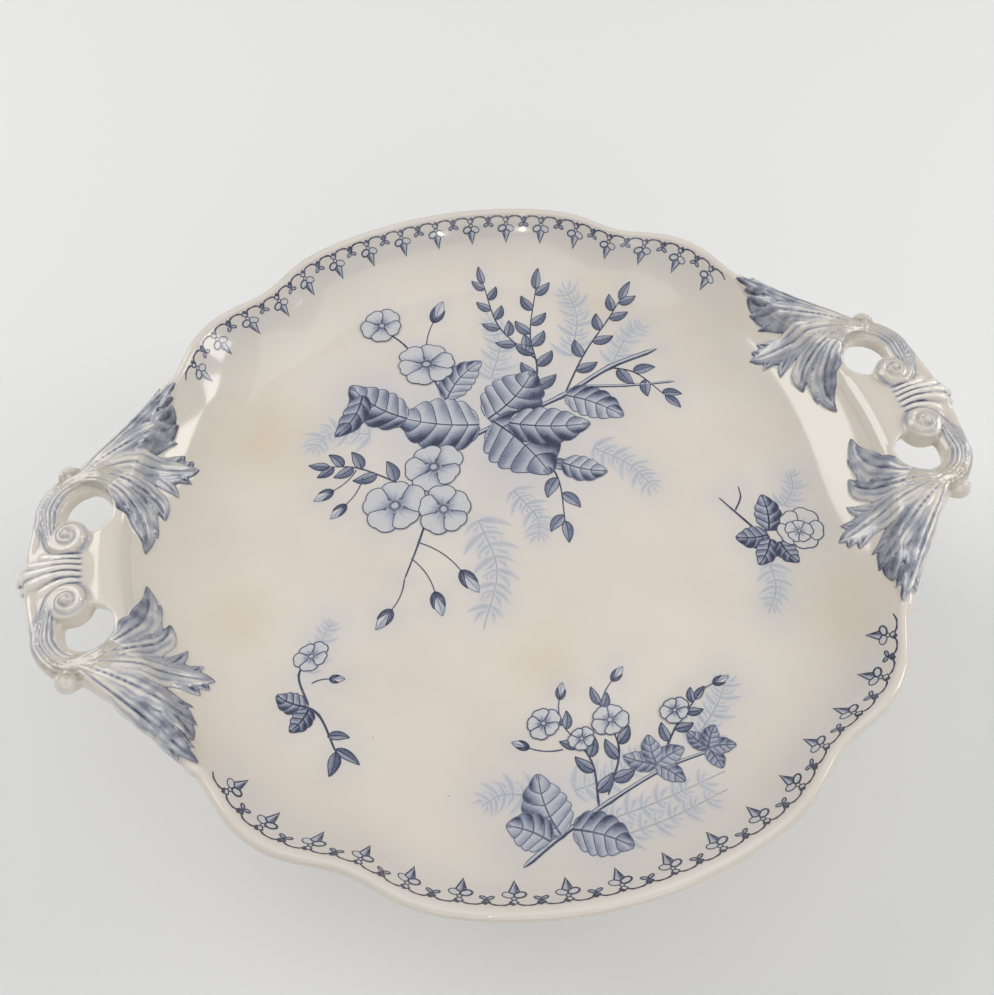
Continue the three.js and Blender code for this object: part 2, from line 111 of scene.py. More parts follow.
# The form of the dish, shared by everything that lies on it
dish = {
    "rimHeight": 118.0, "lobeRadius": 145.0, "sideSpread": 2.2, "notchDepth": 5.1,
    "notchSpread": math.radians(7), "handleNotch": math.radians(33.5), "lobeNotch": math.radians(56.5),
    "lobeLift": 1.2, "wellDepth": 22.0, "wallPower": 9.0, "floorThickness": 6.0, "rimRoll": 2.3,
    "fluteStart": 85.0, "fluteFade": 1.5, "collarRadius": 33.0, "slipGap": 0.3,
    "seatRingWidth": 4.0, "seatRingHeight": 2.5, "seatMiddle": 20.0, "seatClear": 2.5,
    "seatFillet": (0.9, 0.25), "seatRound": (0.7, 0.2), "seatCorner": (0.6, 0.4),
    "segments": 400, "rings": 84, "rollSteps": 15, "solveRounds": 40, "ringSpacing": 0.8,
}


def foldAngle(angle):
    return np.arctan2(np.abs(np.sin(angle)), np.abs(np.cos(angle)))


# one in a notch and along the handles, nought in the middle of a lobe
def notchAt(angle):
    fold = foldAngle(angle)
    past = bell(fold - dish["handleNotch"], dish["notchSpread"])
    besideHandle = np.where(fold < dish["handleNotch"], 1, past)
    return besideHandle + bell(fold - dish["lobeNotch"], dish["notchSpread"])


def edgeShift(angle):
    lobeStart = math.pi / 2 - 2 * dish["notchSpread"]
    nearLobe = smoothStep(dish["handleNotch"], lobeStart, foldAngle(angle))
    return dish["sideSpread"] * (1 - nearLobe) - dish["notchDepth"] * notchAt(angle)


def edgeRadius(angle):
    return dish["lobeRadius"] + edgeShift(angle)


def fluteShare(radius):
    reach = (radius - dish["fluteStart"]) / (dish["lobeRadius"] - dish["fluteStart"])
    return np.clip(reach, 0, 1) ** dish["fluteFade"]


# the wall ends where it meets the roll of the rim at the same slope
wall = {"rise": dish["wellDepth"], "end": dish["lobeRadius"], "slope": 0.0}
for _ in range(dish["solveRounds"]):
    steep = (wall["end"] / dish["lobeRadius"]) ** (dish["wallPower"] - 1)
    wall["slope"] = math.atan(wall["rise"] * dish["wallPower"] * steep / dish["lobeRadius"])
    wall["end"] = dish["lobeRadius"] - dish["rimRoll"] * (1 + math.sin(wall["slope"]))
    endHeight = dish["wellDepth"] - dish["rimRoll"] * (1 - math.cos(wall["slope"]))
    wall["rise"] = endHeight / (wall["end"] / dish["lobeRadius"]) ** dish["wallPower"]
floorHeight = dish["rimHeight"] - dish["wellDepth"]
underside = floorHeight - dish["floorThickness"]
rollCentre = (dish["lobeRadius"] - dish["rimRoll"], dish["rimHeight"] - dish["rimRoll"])


def wallHeight(radius):
    return floorHeight + wall["rise"] * (np.maximum(radius, 0) / dish["lobeRadius"]) ** dish["wallPower"]


def wallSlope(radius):
    steep = (np.maximum(radius, 0) / dish["lobeRadius"]) ** (dish["wallPower"] - 1)
    return np.arctan(wall["rise"] * dish["wallPower"] * steep / dish["lobeRadius"])


# the radius before fluting, and how far the flutes lift the surface
def plainRadius(x, y):
    angle = np.arctan2(y, x)
    plan = np.hypot(x, y)
    shift = edgeShift(angle)
    radius = plan
    for _ in range(dish["solveRounds"] // 2):
        radius = plan - shift * fluteShare(radius)
    return radius, dish["lobeLift"] * (1 - notchAt(angle)) * fluteShare(radius)


def surfaceHeight(x, y):
    radius, lift = plainRadius(x, y)
    roll = np.sqrt(np.maximum(dish["rimRoll"] ** 2 - (radius - rollCentre[0]) ** 2, 0)) + rollCentre[1]
    return np.where(radius < wall["end"], wallHeight(radius), roll) + lift


def onSurface(x, y, lift):
    step = 0.05
    slopeX = (surfaceHeight(x + step, y) - surfaceHeight(x - step, y)) / (2 * step)
    slopeY = (surfaceHeight(x, y + step) - surfaceHeight(x, y - step)) / (2 * step)
    size = np.sqrt(1 + slopeX ** 2 + slopeY ** 2)
    return np.stack([x - lift * slopeX / size, y - lift * slopeY / size,
                     surfaceHeight(x, y) + lift / size], -1)


def dishWarp(radius, angle, height):
    share = fluteShare(radius)
    lift = dish["lobeLift"] * (1 - notchAt(angle)) * share
    return radius + edgeShift(angle) * share, height + lift


# Shader nodes
def nodeGroup(name, inputs, outputs):
    group = bpy.data.node_groups.new(name, "ShaderNodeTree")
    for label, kind, value in inputs:
        socket = group.interface.new_socket(label, in_out="INPUT", socket_type=kind)
        socket.default_value = value
    for label, kind in outputs:
        group.interface.new_socket(label, in_out="OUTPUT", socket_type=kind)
    start = group.nodes.new("NodeGroupInput")
    end = group.nodes.new("NodeGroupOutput")
    return group, start, end


def addNode(tree, kind, sockets, **settings):
    node = tree.nodes.new(kind)
    for key, value in settings.items():
        setattr(node, key, value)
    for socket, value in sockets.items():
        if isinstance(value, bpy.types.NodeSocket):
            tree.links.new(value, node.inputs[socket])
        else:
            node.inputs[socket].default_value = value
    return node


def mixColour(tree, factor, first, second):
    return addNode(tree, "ShaderNodeMix", {0: factor, 6: first, 7: second}, data_type="RGBA").outputs[2]


def mathNode(tree, operation, first, second, clamp=False):
    sockets = {0: first, 1: second}
    return addNode(tree, "ShaderNodeMath", sockets, operation=operation, use_clamp=clamp).outputs[0]


def noise(tree, place, scale, detail, roughness=0.5):
    sockets = {"Vector": place, "Scale": scale, "Detail": detail, "Roughness": roughness}
    return addNode(tree, "ShaderNodeTexNoise", sockets).outputs[0]


def remap(tree, value, low, high, toLow=0.0, toHigh=1.0, kind="LINEAR"):
    sockets = {"Value": value, "From Min": low, "From Max": high, "To Min": toLow, "To Max": toHigh}
    return addNode(tree, "ShaderNodeMapRange", sockets, interpolation_type=kind).outputs[0]


def painted(tree, name):
    return addNode(tree, "ShaderNodeAttribute", {}, attribute_name=name).outputs["Fac"]


def colourRamp(tree, amount, stops):
    ramp = addNode(tree, "ShaderNodeValToRGB", {"Fac": amount})
    elements = ramp.color_ramp.elements
    elements[0].position, elements[0].color = stops[0]
    elements[1].position, elements[1].color = stops[-1]
    for position, colour in stops[1:-1]:
        elements.new(position).color = colour
    return ramp.outputs[0]


# Glaze, with the stains, specks and ripples that all the materials share
glaze = {
    "ivory": (0.675, 0.612, 0.53, 1), "pale": (0.715, 0.655, 0.578, 1), "ochre": (0.63, 0.515, 0.35, 1),
    "halo": (0.50, 0.503, 0.565, 1), "speck": (0.23, 0.17, 0.11, 1),
    "cloudScale": 22.0, "cloudRange": (0.35, 0.7), "blotchScale": 60.0, "stainStrength": 0.75,
    "stains": [(-86, 56, 30), (109, -74, 26), (-2, -60, 22), (60, 92, 24), (-104, -20, 20)],  # x, y, radius
    "stainHeight": 98.0, "speckScale": 95.0, "speckRange": (0.035, 0.02), "speckRarity": 0.86,
    "speckStrength": 0.55, "wearScale": 45.0, "wearRange": (0.3, 0.75), "roughness": (0.07, 0.15),
    "rippleScale": 70.0, "pitScale": 900.0, "pitDepth": 0.035, "bumpDepth": 0.6, "bump": 0.12,
    "coat": 0.35, "coatRoughness": 0.03, "ior": 1.5,
}


def glazeGroup():
    inputs = [("Vector", "NodeSocketVector", (0, 0, 0)), ("Halo", "NodeSocketFloat", 0)]
    outputs = [("Color", "NodeSocketColor"), ("Roughness", "NodeSocketFloat"), ("Height", "NodeSocketFloat")]
    group, start, end = nodeGroup("glazeColour", inputs, outputs)
    place = start.outputs["Vector"]
    cloud = remap(group, noise(group, place, glaze["cloudScale"], 4.0, 0.55), *glaze["cloudRange"])
    colour = mixColour(group, cloud, glaze["ivory"], glaze["pale"])
    spots = 0.0
    for x, y, size in glaze["stains"]:
        centre = (x * mm, y * mm, glaze["stainHeight"] * mm)
        away = addNode(group, "ShaderNodeVectorMath", {0: place, 1: centre}, operation="DISTANCE")
        fade = remap(group, away.outputs["Value"], size * mm, 0.0, kind="SMOOTHSTEP")
        spots = mathNode(group, "MAXIMUM", spots, fade)
    blotch = noise(group, place, glaze["blotchScale"], 3.0)
    stain = mathNode(group, "MULTIPLY", spots, mathNode(group, "MULTIPLY", blotch, glaze["stainStrength"]))
    colour = mixColour(group, stain, colour, glaze["ochre"])
    colour = mixColour(group, start.outputs["Halo"], colour, glaze["halo"])
    dust = addNode(group, "ShaderNodeTexVoronoi", {"Vector": place, "Scale": glaze["speckScale"]})
    dot = remap(group, dust.outputs["Distance"], *glaze["speckRange"])
    pick = addNode(group, "ShaderNodeSeparateColor", {0: dust.outputs["Color"]})
    rare = mathNode(group, "GREATER_THAN", pick.outputs[0], glaze["speckRarity"])
    speck = mathNode(group, "MULTIPLY", mathNode(group, "MULTIPLY", dot, rare), glaze["speckStrength"])
    colour = mixColour(group, speck, colour, glaze["speck"])
    wear = noise(group, place, glaze["wearScale"], 5.0, 0.6)
    rough = remap(group, wear, *glaze["wearRange"], *glaze["roughness"])
    pits = mathNode(group, "MULTIPLY", noise(group, place, glaze["pitScale"], 1.0), glaze["pitDepth"])
    height = mathNode(group, "ADD", noise(group, place, glaze["rippleScale"], 2.0, 0.4), pits)
    for label, value in (("Color", colour), ("Roughness", rough), ("Height", height)):
        group.links.new(value, end.inputs[label])
    return group


glazeColour = glazeGroup()


def glazedMaterial(name, bump):
    material = bpy.data.materials.new(name)
    material.use_nodes = True
    tree = material.node_tree
    shader = tree.nodes["Principled BSDF"]
    shader.inputs["IOR"].default_value = glaze["ior"]
    shader.inputs["Coat Weight"].default_value = glaze["coat"]
    shader.inputs["Coat Roughness"].default_value = glaze["coatRoughness"]
    place = addNode(tree, "ShaderNodeTexCoord", {}).outputs["Object"]
    body = addNode(tree, "ShaderNodeGroup", {}, node_tree=glazeColour)
    tree.links.new(place, body.inputs["Vector"])
    tree.links.new(body.outputs["Roughness"], shader.inputs["Roughness"])
    relief = {"Height": body.outputs["Height"], "Strength": bump, "Distance": glaze["bumpDepth"] * mm}
    tree.links.new(addNode(tree, "ShaderNodeBump", relief).outputs[0], shader.inputs["Normal"])
    return material, tree, shader, body, place


def ivoryMaterial(name):
    material, tree, shader, body, _ = glazedMaterial(name, glaze["bump"])
    tree.links.new(painted(tree, "halo"), body.inputs["Halo"])
    tree.links.new(body.outputs["Color"], shader.inputs["Base Color"])
    return material


# two noises, each with its share, make a brushed or printed colour uneven
def unevenness(tree, fine, coarse):
    parts = [mathNode(tree, "MULTIPLY", value, share) for value, share in (fine, coarse)]
    return mathNode(tree, "ADD", *parts)


# Blue brushed over the glaze of handles and leaves, grime in the hollows, and a painted highlight on the
# crests in a colour whiter than the glaze
wash = {
    "stops": [(0.0, (0.665, 0.63, 0.57, 1)), (0.3, (0.405, 0.412, 0.45, 1)), (0.66, (0.18, 0.192, 0.24, 1)),
              (1.0, (0.04, 0.046, 0.075, 1))],
    # the colour given to crests is a painted highlight, whiter than the glaze
    "grime": (0.30, 0.262, 0.205, 1), "crest": (0.80, 0.775, 0.72, 1), "brushScale": 420.0,
    "brushShare": 0.9, "patchScale": 110.0, "patchShare": 0.6, "least": 0.25, "cover": 3.5, "bump": 0.2,
}


def washMaterial(name):
    material, tree, shader, body, place = glazedMaterial(name, wash["bump"])
    brush = noise(tree, place, wash["brushScale"], 4.0, 0.6)
    patch = noise(tree, place, wash["patchScale"], 2.0)
    uneven = unevenness(tree, (brush, wash["brushShare"]), (patch, wash["patchShare"]))
    strength = mathNode(tree, "ADD", uneven, wash["least"])
    amount = mathNode(tree, "MULTIPLY", painted(tree, "wash"), strength, True)
    dirt = mathNode(tree, "MULTIPLY", painted(tree, "grime"), uneven, True)
    # painted highlight: the ridges are mixed towards a colour whiter than the glaze
    base = mixColour(tree, painted(tree, "crest"), body.outputs["Color"], wash["crest"])
    dirty = mixColour(tree, dirt, base, wash["grime"])
    covered = mathNode(tree, "MULTIPLY", amount, wash["cover"], True)
    colour = mixColour(tree, covered, dirty, colourRamp(tree, amount, wash["stops"]))
    tree.links.new(colour, shader.inputs["Base Color"])
    return material


# Ink of the print
ink = {
    "stops": [(0.0, (0.62, 0.61, 0.60, 1)), (0.25, (0.47, 0.482, 0.522, 1)),
              (0.55, (0.215, 0.235, 0.312, 1)), (0.8, (0.085, 0.1, 0.158, 1)),
              (1.0, (0.038, 0.045, 0.076, 1))],
    "stippleScale": 1100.0, "stippleShare": 0.45, "flowScale": 130.0, "flowShare": 0.5, "least": 0.52,
    "cover": 4.0,
}


def inkMaterial(name):
    material, tree, shader, body, place = glazedMaterial(name, glaze["bump"])
    tree.links.new(painted(tree, "halo"), body.inputs["Halo"])
    stipple = noise(tree, place, ink["stippleScale"], 2.0)
    flow = noise(tree, place, ink["flowScale"], 3.0)
    grain = unevenness(tree, (stipple, ink["stippleShare"]), (flow, ink["flowShare"]))
    strength = mathNode(tree, "ADD", grain, ink["least"])
    amount = mathNode(tree, "MULTIPLY", painted(tree, "tone"), strength, True)
    covered = mathNode(tree, "MULTIPLY", amount, ink["cover"], True)
    colour = mixColour(tree, covered, body.outputs["Color"], colourRamp(tree, amount, ink["stops"]))
    tree.links.new(colour, shader.inputs["Base Color"])
    return material


ivoryGlaze = ivoryMaterial("ivoryGlaze")
washedGlaze = washMaterial("washedGlaze")
blueWash = washMaterial("blueWash")
printInk = inkMaterial("printInk")
print("materials ready")


# Dish
def arc(x, z, radius, turns):
    return [(x + radius * math.cos(t), z + radius * math.sin(t)) for t in turns]


def dishProfile():
    d = dish
    inner = wall["end"] * np.linspace(0, 1, d["rings"]) ** d["ringSpacing"]
    points = [(0, floorHeight)] + [(r, float(wallHeight(r))) for r in inner[1:]]
    turns = math.pi / 2 + wall["slope"] - np.linspace(0, math.pi, d["rollSteps"])[1:]
    points += arc(*rollCentre, d["rimRoll"], turns)
    ringInner = d["collarRadius"] + d["slipGap"]
    ringOuter = ringInner + d["seatRingWidth"]
    for r in inner[-2:0:-2]:  # back under the wall, thicker towards the middle
        if r < ringOuter + d["seatClear"]:
            break
        share = (r / wall["end"]) ** 3
        away = d["floorThickness"] * (1 - share) + 2 * d["rimRoll"] * share
        slope = float(wallSlope(r))
        points.append((r + away * math.sin(slope), float(wallHeight(r)) - away * math.cos(slope)))
    low = underside - d["seatRingHeight"]
    fillet, midFillet = d["seatFillet"]
    edge, midEdge = d["seatRound"]
    cornerIn, cornerDown = d["seatCorner"]
    points += [(ringOuter + fillet, underside), (ringOuter + midFillet, underside - midFillet),
               (ringOuter, underside - fillet), (ringOuter, low + edge),
               (ringOuter - midEdge, low + midEdge), (ringOuter - edge, low), (ringInner + edge, low),
               (ringInner + midEdge, low + midEdge), (ringInner, low + edge),
               (ringInner, underside - cornerDown), (ringInner - cornerIn, underside),
               (d["seatMiddle"], underside), (0, underside)]
    return points[::-1]


dishBody = turnedPiece("dishBody", dishProfile(), dish["segments"], ivoryGlaze, dishWarp)
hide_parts("dish")
print("dish built", len(dishBody.data.polygons))

# Pedestal
pedestal = {
    "collarHeight": 5.0, "neckShare": 0.72, "neckDrop": 3.0, "neckLength": 8.0, "stemRadius": 17.0,
    "stemWall": 5.5, "knopRadius": 5.0, "knopHeight": 56.0, "knopSteps": 14, "stemPull": 0.5,
    "footRadius": 66.0, "footEdge": 5.0, "footSpread": 0.55, "footSwell": 6.0, "footStep": 4.0,
    "footStepHeight": 3.0, "footRingWidth": 8.0, "footSteps": 26, "hollowSpread": 0.5, "hollowSlope": 2.0,
    "hollowPull": 0.45, "cornerRound": 0.9, "segments": 192,
}


def bezier(a, b, c, d, steps=18):
    t = np.linspace(0, 1, steps)[1:, None]
    a, b, c, d = (np.array(p, float) for p in (a, b, c, d))
    return (a * (1 - t) ** 3 + 3 * b * t * (1 - t) ** 2 + 3 * c * t ** 2 * (1 - t) + d * t ** 3).tolist()


# sharp corners of a profile made round
def softened(points, size):
    straight, shortest, cutShare, steps = 0.9, 1e-6, 0.45, 5
    out = [points[0]]
    for before, here, after in zip(points, points[1:], points[2:]):
        before, here, after = (np.array(p, float) for p in (before, here, after))
        into, away = here - before, after - here
        lengths = np.linalg.norm(into), np.linalg.norm(away)
        bend = np.dot(into, away) / max(lengths[0] * lengths[1], 1e-9)
        if bend > straight or min(lengths) < shortest:
            out.append(tuple(here))
            continue
        cut = min(size, cutShare * min(lengths))
        first, last = here - into / lengths[0] * cut, here + away / lengths[1] * cut
        for t in np.linspace(0, 1, steps):
            out.append(tuple(first * (1 - t) ** 2 + 2 * here * t * (1 - t) + last * t ** 2))
    out.append(points[-1])
    return out


def pedestalProfile():
    p = pedestal
    collar, stem = dish["collarRadius"], p["stemRadius"]
    top = underside - dish["slipGap"]
    neck = top - p["collarHeight"]
    knopTop, knopLow = p["knopHeight"] + p["knopRadius"], p["knopHeight"] - p["knopRadius"]
    footTop = 2 * p["footEdge"]
    edge = p["footRadius"] - p["footEdge"]
    step = edge - p["footStep"]
    bore = stem - p["stemWall"]
    hollow = edge - p["footRingWidth"] - p["hollowSlope"]
    halfTurn = np.linspace(math.pi / 2, -math.pi / 2, p["knopSteps"])
    line = [(0, top), (collar, top), (collar, neck)]
    line += bezier((collar, neck), (collar * p["neckShare"], neck - p["neckDrop"]),
                   (stem, neck - p["neckLength"]), (stem, knopTop))
    line += arc(stem, p["knopHeight"], p["knopRadius"], halfTurn)
    line += bezier((stem, knopLow), (stem, knopLow * p["stemPull"]),
                   (edge * p["footSpread"], footTop + p["footSwell"]),
                   (step, footTop + p["footStepHeight"]), p["footSteps"])
    line += [(step, footTop), (edge, footTop)]
    line += arc(edge, p["footEdge"], p["footEdge"], halfTurn[1:])
    line += [(edge - p["footRingWidth"], 0), (hollow, p["footEdge"])]
    line += bezier((hollow, p["footEdge"]), (edge * p["hollowSpread"], footTop),
                   (bore, knopLow * p["hollowPull"]), (bore, knopLow))
    line += [(bore, neck - p["stemWall"]), (0, neck - p["stemWall"])]
    return softened(line, p["cornerRound"])[::-1]


pedestalBody = turnedPiece("pedestalBody", pedestalProfile(), pedestal["segments"], ivoryGlaze)
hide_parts("pedestal")
print("pedestal built", len(pedestalBody.data.polygons))

# Handles, sculpted as a field of distances on a fine grid and skinned
handle = {
    "reach": 172.5, "holeOffset": 22.8, "holeRadius": 8.6, "strapWidth": 10.0, "strapThickness": 9.0,
    "strapTurns": (122, 95, 70, 46, 22, 2), "strapRootTurn": math.radians(165), "strapRootWidth": 5.0,
    "strapRootDrop": 2.2, "strapRootThin": 0.7, "voluteInset": 2.9, "voluteOffset": 12.8,
    "spiralRadius": 9.0, "spiralPitch": 0.13, "spiralTurn": math.radians(560), "spiralStart": 0.1,
    "spiralStep": 0.42, "spiralRise": 2.2, "drumShare": 0.72, "drumSink": 1.0, "drumFloor": 0.6,
    "drumRound": 0.8, "eyeRadius": 1.5, "eyeLift": 1.2, "knobRadius": 4.4, "knobTurn": math.radians(70),
    "knobLift": 0.8, "knobBite": 0.1, "knobDraw": 0.78, "knobNose": (0.24, 1.3),
    "knobNeck": (0.16, 1.6, 1.3), "knobCrease": (0.45, 1.5, 0.5), "knobCreaseRange": (3.8, 1.0),
    "hornStart": math.radians(82), "hornRootAngle": math.radians(17), "hornEndAngle": math.radians(33),
    "hornRootWidth": 14.0, "hornEndWidth": 1.8, "hornEndThickness": 2.2, "hornOverhang": 11.5,
    "hornDrop": 1.6, "hornSteps": 6, "webThickness": 5.0, "webHalfWidth": 31.0, "webRise": 3.1,
    "webRoll": 2.7, "webOverlap": 2.0, "webCorner": 1.0, "webRound": 1.2, "saddle": 1.8, "saddleWidth": 7.5,
    "saddleSlope": (146.0, 156.0), "reeds": 6, "reedStart": -0.3, "reedOver": 0.06, "reedDepth": 0.6,
    "reedSharpness": 1.8, "reedWidths": (3.5, 6.5), "reedEnds": (2.5, 0.5), "reedUpper": (-0.25, 0.45),
    "bandEdge": (0.56, 0.4), "seamInner": (0.36, 0.5), "seamOuter": (0.66, 0.54), "seamWidths": (6.6, 5.2),
    "seamEnds": (1.0, 0.2), "railWidth": 4.4, "railThickness": 7.5, "railTurns": (50, 24, 0),
    # inset from the reach, side, drop and slimming
    "railTip": [(5.9, 15.5, 0.3, 0.95), (4.4, 9.6, 0.8, 0.85), (3.2, 5.0, 1.4, 0.7)],
    "cell": 0.415, "low": (104.0, 0.0, 99.0), "high": (175.6, 80.0, 127.0),
    "settle": (2, 0.4),  # rounds and share
}
handleEdge = float(edgeRadius(0.0))
wallEdge = float(dishWarp(wall["end"], 0.0, 0.0)[0])
holeMiddle = math.sqrt(handleEdge ** 2 - handle["holeOffset"] ** 2) + handle["holeRadius"]
voluteMiddle = holeMiddle + handle["holeRadius"] - handle["voluteInset"]

axes = [np.arange(low, high, handle["cell"]) for low, high in zip(handle["low"], handle["high"])]
gridX, gridY = np.meshgrid(axes[0], axes[1], indexing="ij")
gridZ = axes[2][None, None, :]


# for each point of the plan: share along a line, distance to its left and distance past its ends
def alongLine(line, x, y):
    flat = np.stack([x.ravel(), y.ravel()], 1)
    nearest = np.empty(len(flat), int)
    block = 8000
    for i in range(0, len(flat), block):
        part = flat[i:i + block]
        nearest[i:i + block] = ((part[:, None, :] - line[None]) ** 2).sum(2).argmin(1)
    ahead = np.gradient(line, axis=0)
    pace = np.linalg.norm(ahead, axis=1, keepdims=True)
    ahead = ahead / pace
    offset = flat - line[nearest]
    along = (offset * ahead[nearest]).sum(1)
    side = offset[:, 1] * ahead[nearest, 0] - offset[:, 0] * ahead[nearest, 1]
    last = len(line) - 1
    pastEnd = np.where(nearest == last, np.maximum(along, 0), 0)
    over = np.where(nearest == 0, np.maximum(-along, 0), pastEnd)
    share = np.clip((nearest + along / pace[nearest, 0]) / last, 0, 1)
    return share.reshape(x.shape), side.reshape(x.shape), over.reshape(x.shape)


def oval(side, rise, halfWidth, halfHeight):
    k = np.sqrt((side / halfWidth) ** 2 + (rise / halfHeight) ** 2)
    pull = np.sqrt((side / halfWidth ** 2) ** 2 + (rise / halfHeight ** 2) ** 2)
    return k * (k - 1) / np.maximum(pull, 1e-4)


def softMin(a, b, blend):
    mix = np.clip(0.5 + 0.5 * (b - a) / blend, 0, 1)
    return b * (1 - mix) + a * mix - blend * mix * (1 - mix)


def softMax(a, b, blend):
    return -softMin(-a, -b, blend)


# keys are rows of x, y, height over the rim, width and thickness
def strapLayout(keys, steps=14):
    line = smoothLine(keys, steps)
    share, side, over = alongLine(line[:, :2], gridX, gridY)
    at = np.linspace(0, 1, len(line))
    height, width, thick = (np.interp(share, at, line[:, i]) for i in (2, 3, 4))
    return side, over, height, width, thick


# where a strap is wide enough to be reeded
def reedShare(layout):
    _, over, _, width, _ = layout
    return smoothStep(*handle["reedWidths"], width) * smoothStep(*handle["reedEnds"], over)


# fine furrows along the outer part of a strap, a plain lip beside them
def furrows(layout):
    h = handle
    side, width = layout[0], layout[3]
    turn = (side / width - h["reedStart"]) / (0.5 - h["reedStart"])
    furrow = np.abs(np.cos(math.pi * h["reeds"] * turn)) ** h["reedSharpness"]
    return furrow * reedShare(layout) * (turn > -h["reedOver"]) * (turn < 1 + h["reedOver"])


def strapCover(layout):
    return smoothStep(*handle["bandEdge"], np.abs(layout[0]) / layout[3]) * reedShare(layout)


# the lines where the turns of a volute meet
def seams(layout):
    h = handle
    side, over, _, width, _ = layout
    away = np.abs(side) / width
    line = smoothStep(*h["seamInner"], away) * smoothStep(*h["seamOuter"], away)
    return line * smoothStep(*h["seamWidths"], width) * smoothStep(*h["seamEnds"], over)


def strapField(layout, furrow=None):
    side, over, height, width, thick = layout
    rise = gridZ - (dish["rimHeight"] + height)[..., None]
    field = oval(np.hypot(side, over)[..., None], rise, (width / 2)[..., None], (thick / 2)[..., None])
    if furrow is not None:
        upper = smoothStep(*handle["reedUpper"], rise / (thick / 2)[..., None])
        field = field + handle["reedDepth"] * furrow[..., None] * upper
    return field.astype(np.float32)


def roundHole(radius, turn, drop, width, thick):
    x, y = holeMiddle + radius * math.cos(turn), handle["holeOffset"] + radius * math.sin(turn)
    return (x, y, -drop, width, thick)


# the strap rounds the finger hole and winds up on itself, each turn against the last
def scrollKeys():
    h = handle
    lip = h["holeRadius"] + h["strapRootWidth"] / 2
    rounding = h["holeRadius"] + h["strapWidth"] / 2
    thin = h["strapThickness"] * h["strapRootThin"]
    keys = [roundHole(lip, h["strapRootTurn"], h["strapRootDrop"], h["strapRootWidth"], thin)]
    for turn in h["strapTurns"]:
        keys.append(roundHole(rounding, math.radians(turn), 0, h["strapWidth"], h["strapThickness"]))
    inner = math.exp(-h["spiralPitch"] * 2 * math.pi)
    for turn in np.arange(h["spiralStart"], h["spiralTurn"], h["spiralStep"]):
        outer = h["spiralRadius"] * math.exp(-h["spiralPitch"] * turn)
        reach, width = outer * (1 + inner) / 2, outer * (1 - inner)
        x, y = voluteMiddle + reach * math.cos(-turn), h["voluteOffset"] + reach * math.sin(-turn)
        keys.append((x, y, h["spiralRise"] * (1 - outer / h["spiralRadius"]), width, h["strapThickness"]))
    return keys


# the horn runs from the strap along the rim, under the leaf
def hornKeys():
    h = handle
    rounding = h["holeRadius"] + h["strapWidth"] / 2
    keys = [roundHole(rounding, h["hornStart"], 0, h["strapWidth"], h["strapThickness"])]
    for t in np.linspace(0, 1, h["hornSteps"]):
        angle = h["hornRootAngle"] + (h["hornEndAngle"] - h["hornRootAngle"]) * t
        width = h["hornRootWidth"] + (h["hornEndWidth"] - h["hornRootWidth"]) * t
        thick = h["strapThickness"] + (h["hornEndThickness"] - h["strapThickness"]) * t
        radius = float(edgeRadius(angle)) + h["hornOverhang"] * (1 - t) ** 2 - width / 2
        keys.append((radius * math.cos(angle), radius * math.sin(angle), -h["hornDrop"] * t, width, thick))
    return keys


# the outer rail of the scroll runs on from the strap to the tip of the shell
def railKeys():
    h = handle
    outer = h["holeRadius"] + h["strapWidth"] - h["railWidth"] / 2
    keys = []
    for turn in h["railTurns"]:
        keys.append(roundHole(outer, math.radians(turn), 0, h["railWidth"], h["railThickness"]))
    for inset, side, drop, slim in h["railTip"]:
        keys.append((h["reach"] - inset, side, -drop, h["railWidth"] * slim, h["railThickness"] * slim))
    return keys


def ballField(x, y, height, radius):
    rise = gridZ - dish["rimHeight"] - height
    away = np.sqrt(((gridX - x) ** 2 + (gridY - y) ** 2)[..., None] + rise ** 2)
    return (away - radius).astype(np.float32)


# a bud drawn out to a blunt nose, creased along its back and pinched at its neck
def budField(x, y, height, radius, turn):
    h = handle
    noseSlim, noseReach = h["knobNose"]
    neckSlim, neckBack, neckWidth = h["knobNeck"]
    depth, creaseSide, creaseWidth = h["knobCrease"]
    out = (gridX - x) * math.cos(turn) + (gridY - y) * math.sin(turn)
    side = (gridY - y) * math.cos(turn) - (gridX - x) * math.sin(turn)
    nose = noseSlim * smoothStep(0, noseReach * radius, out)
    slim = radius * (1 - nose - neckSlim * bell(out + neckBack, neckWidth))
    rise = gridZ - dish["rimHeight"] - height
    away = np.sqrt((side ** 2 + (out * h["knobDraw"]) ** 2)[..., None] + rise ** 2)
    crease = depth * bell(np.abs(side) - creaseSide, creaseWidth)
    crease = crease * smoothStep(*h["knobCreaseRange"], np.abs(out))
    return (away - slim[..., None] + crease[..., None] * (rise > 0)).astype(np.float32)


# the wall of the dish runs on past the rim as a plain panel round the finger holes
def webField():
    h = handle
    past = np.hypot(gridX, gridY) - wallEdge
    inHole = h["holeRadius"] - np.hypot(gridX - holeMiddle, gridY - h["holeOffset"])
    rail = np.array(railKeys())[::-1]
    outer = gridX - np.interp(gridY, rail[:, 1], rail[:, 0])
    plan = np.maximum(np.maximum(outer, gridY - h["webHalfWidth"]), -past - h["webOverlap"])
    top = wallHeight(wall["end"]) + h["webRise"] * (1 - np.exp(-np.maximum(past, 0) / h["webRoll"]))
    top = top + np.minimum(past, 0) * h["webRise"] / h["webRoll"]
    top = top + h["saddle"] * bell(gridY, h["saddleWidth"]) * smoothStep(*h["saddleSlope"], gridX)
    slab = np.abs(gridZ - (top - h["webThickness"] / 2)[..., None]) - h["webThickness"] / 2
    outline = softMax(plan, inHole, h["webCorner"])
    return softMax(outline[..., None], slab, h["webRound"]).astype(np.float32)


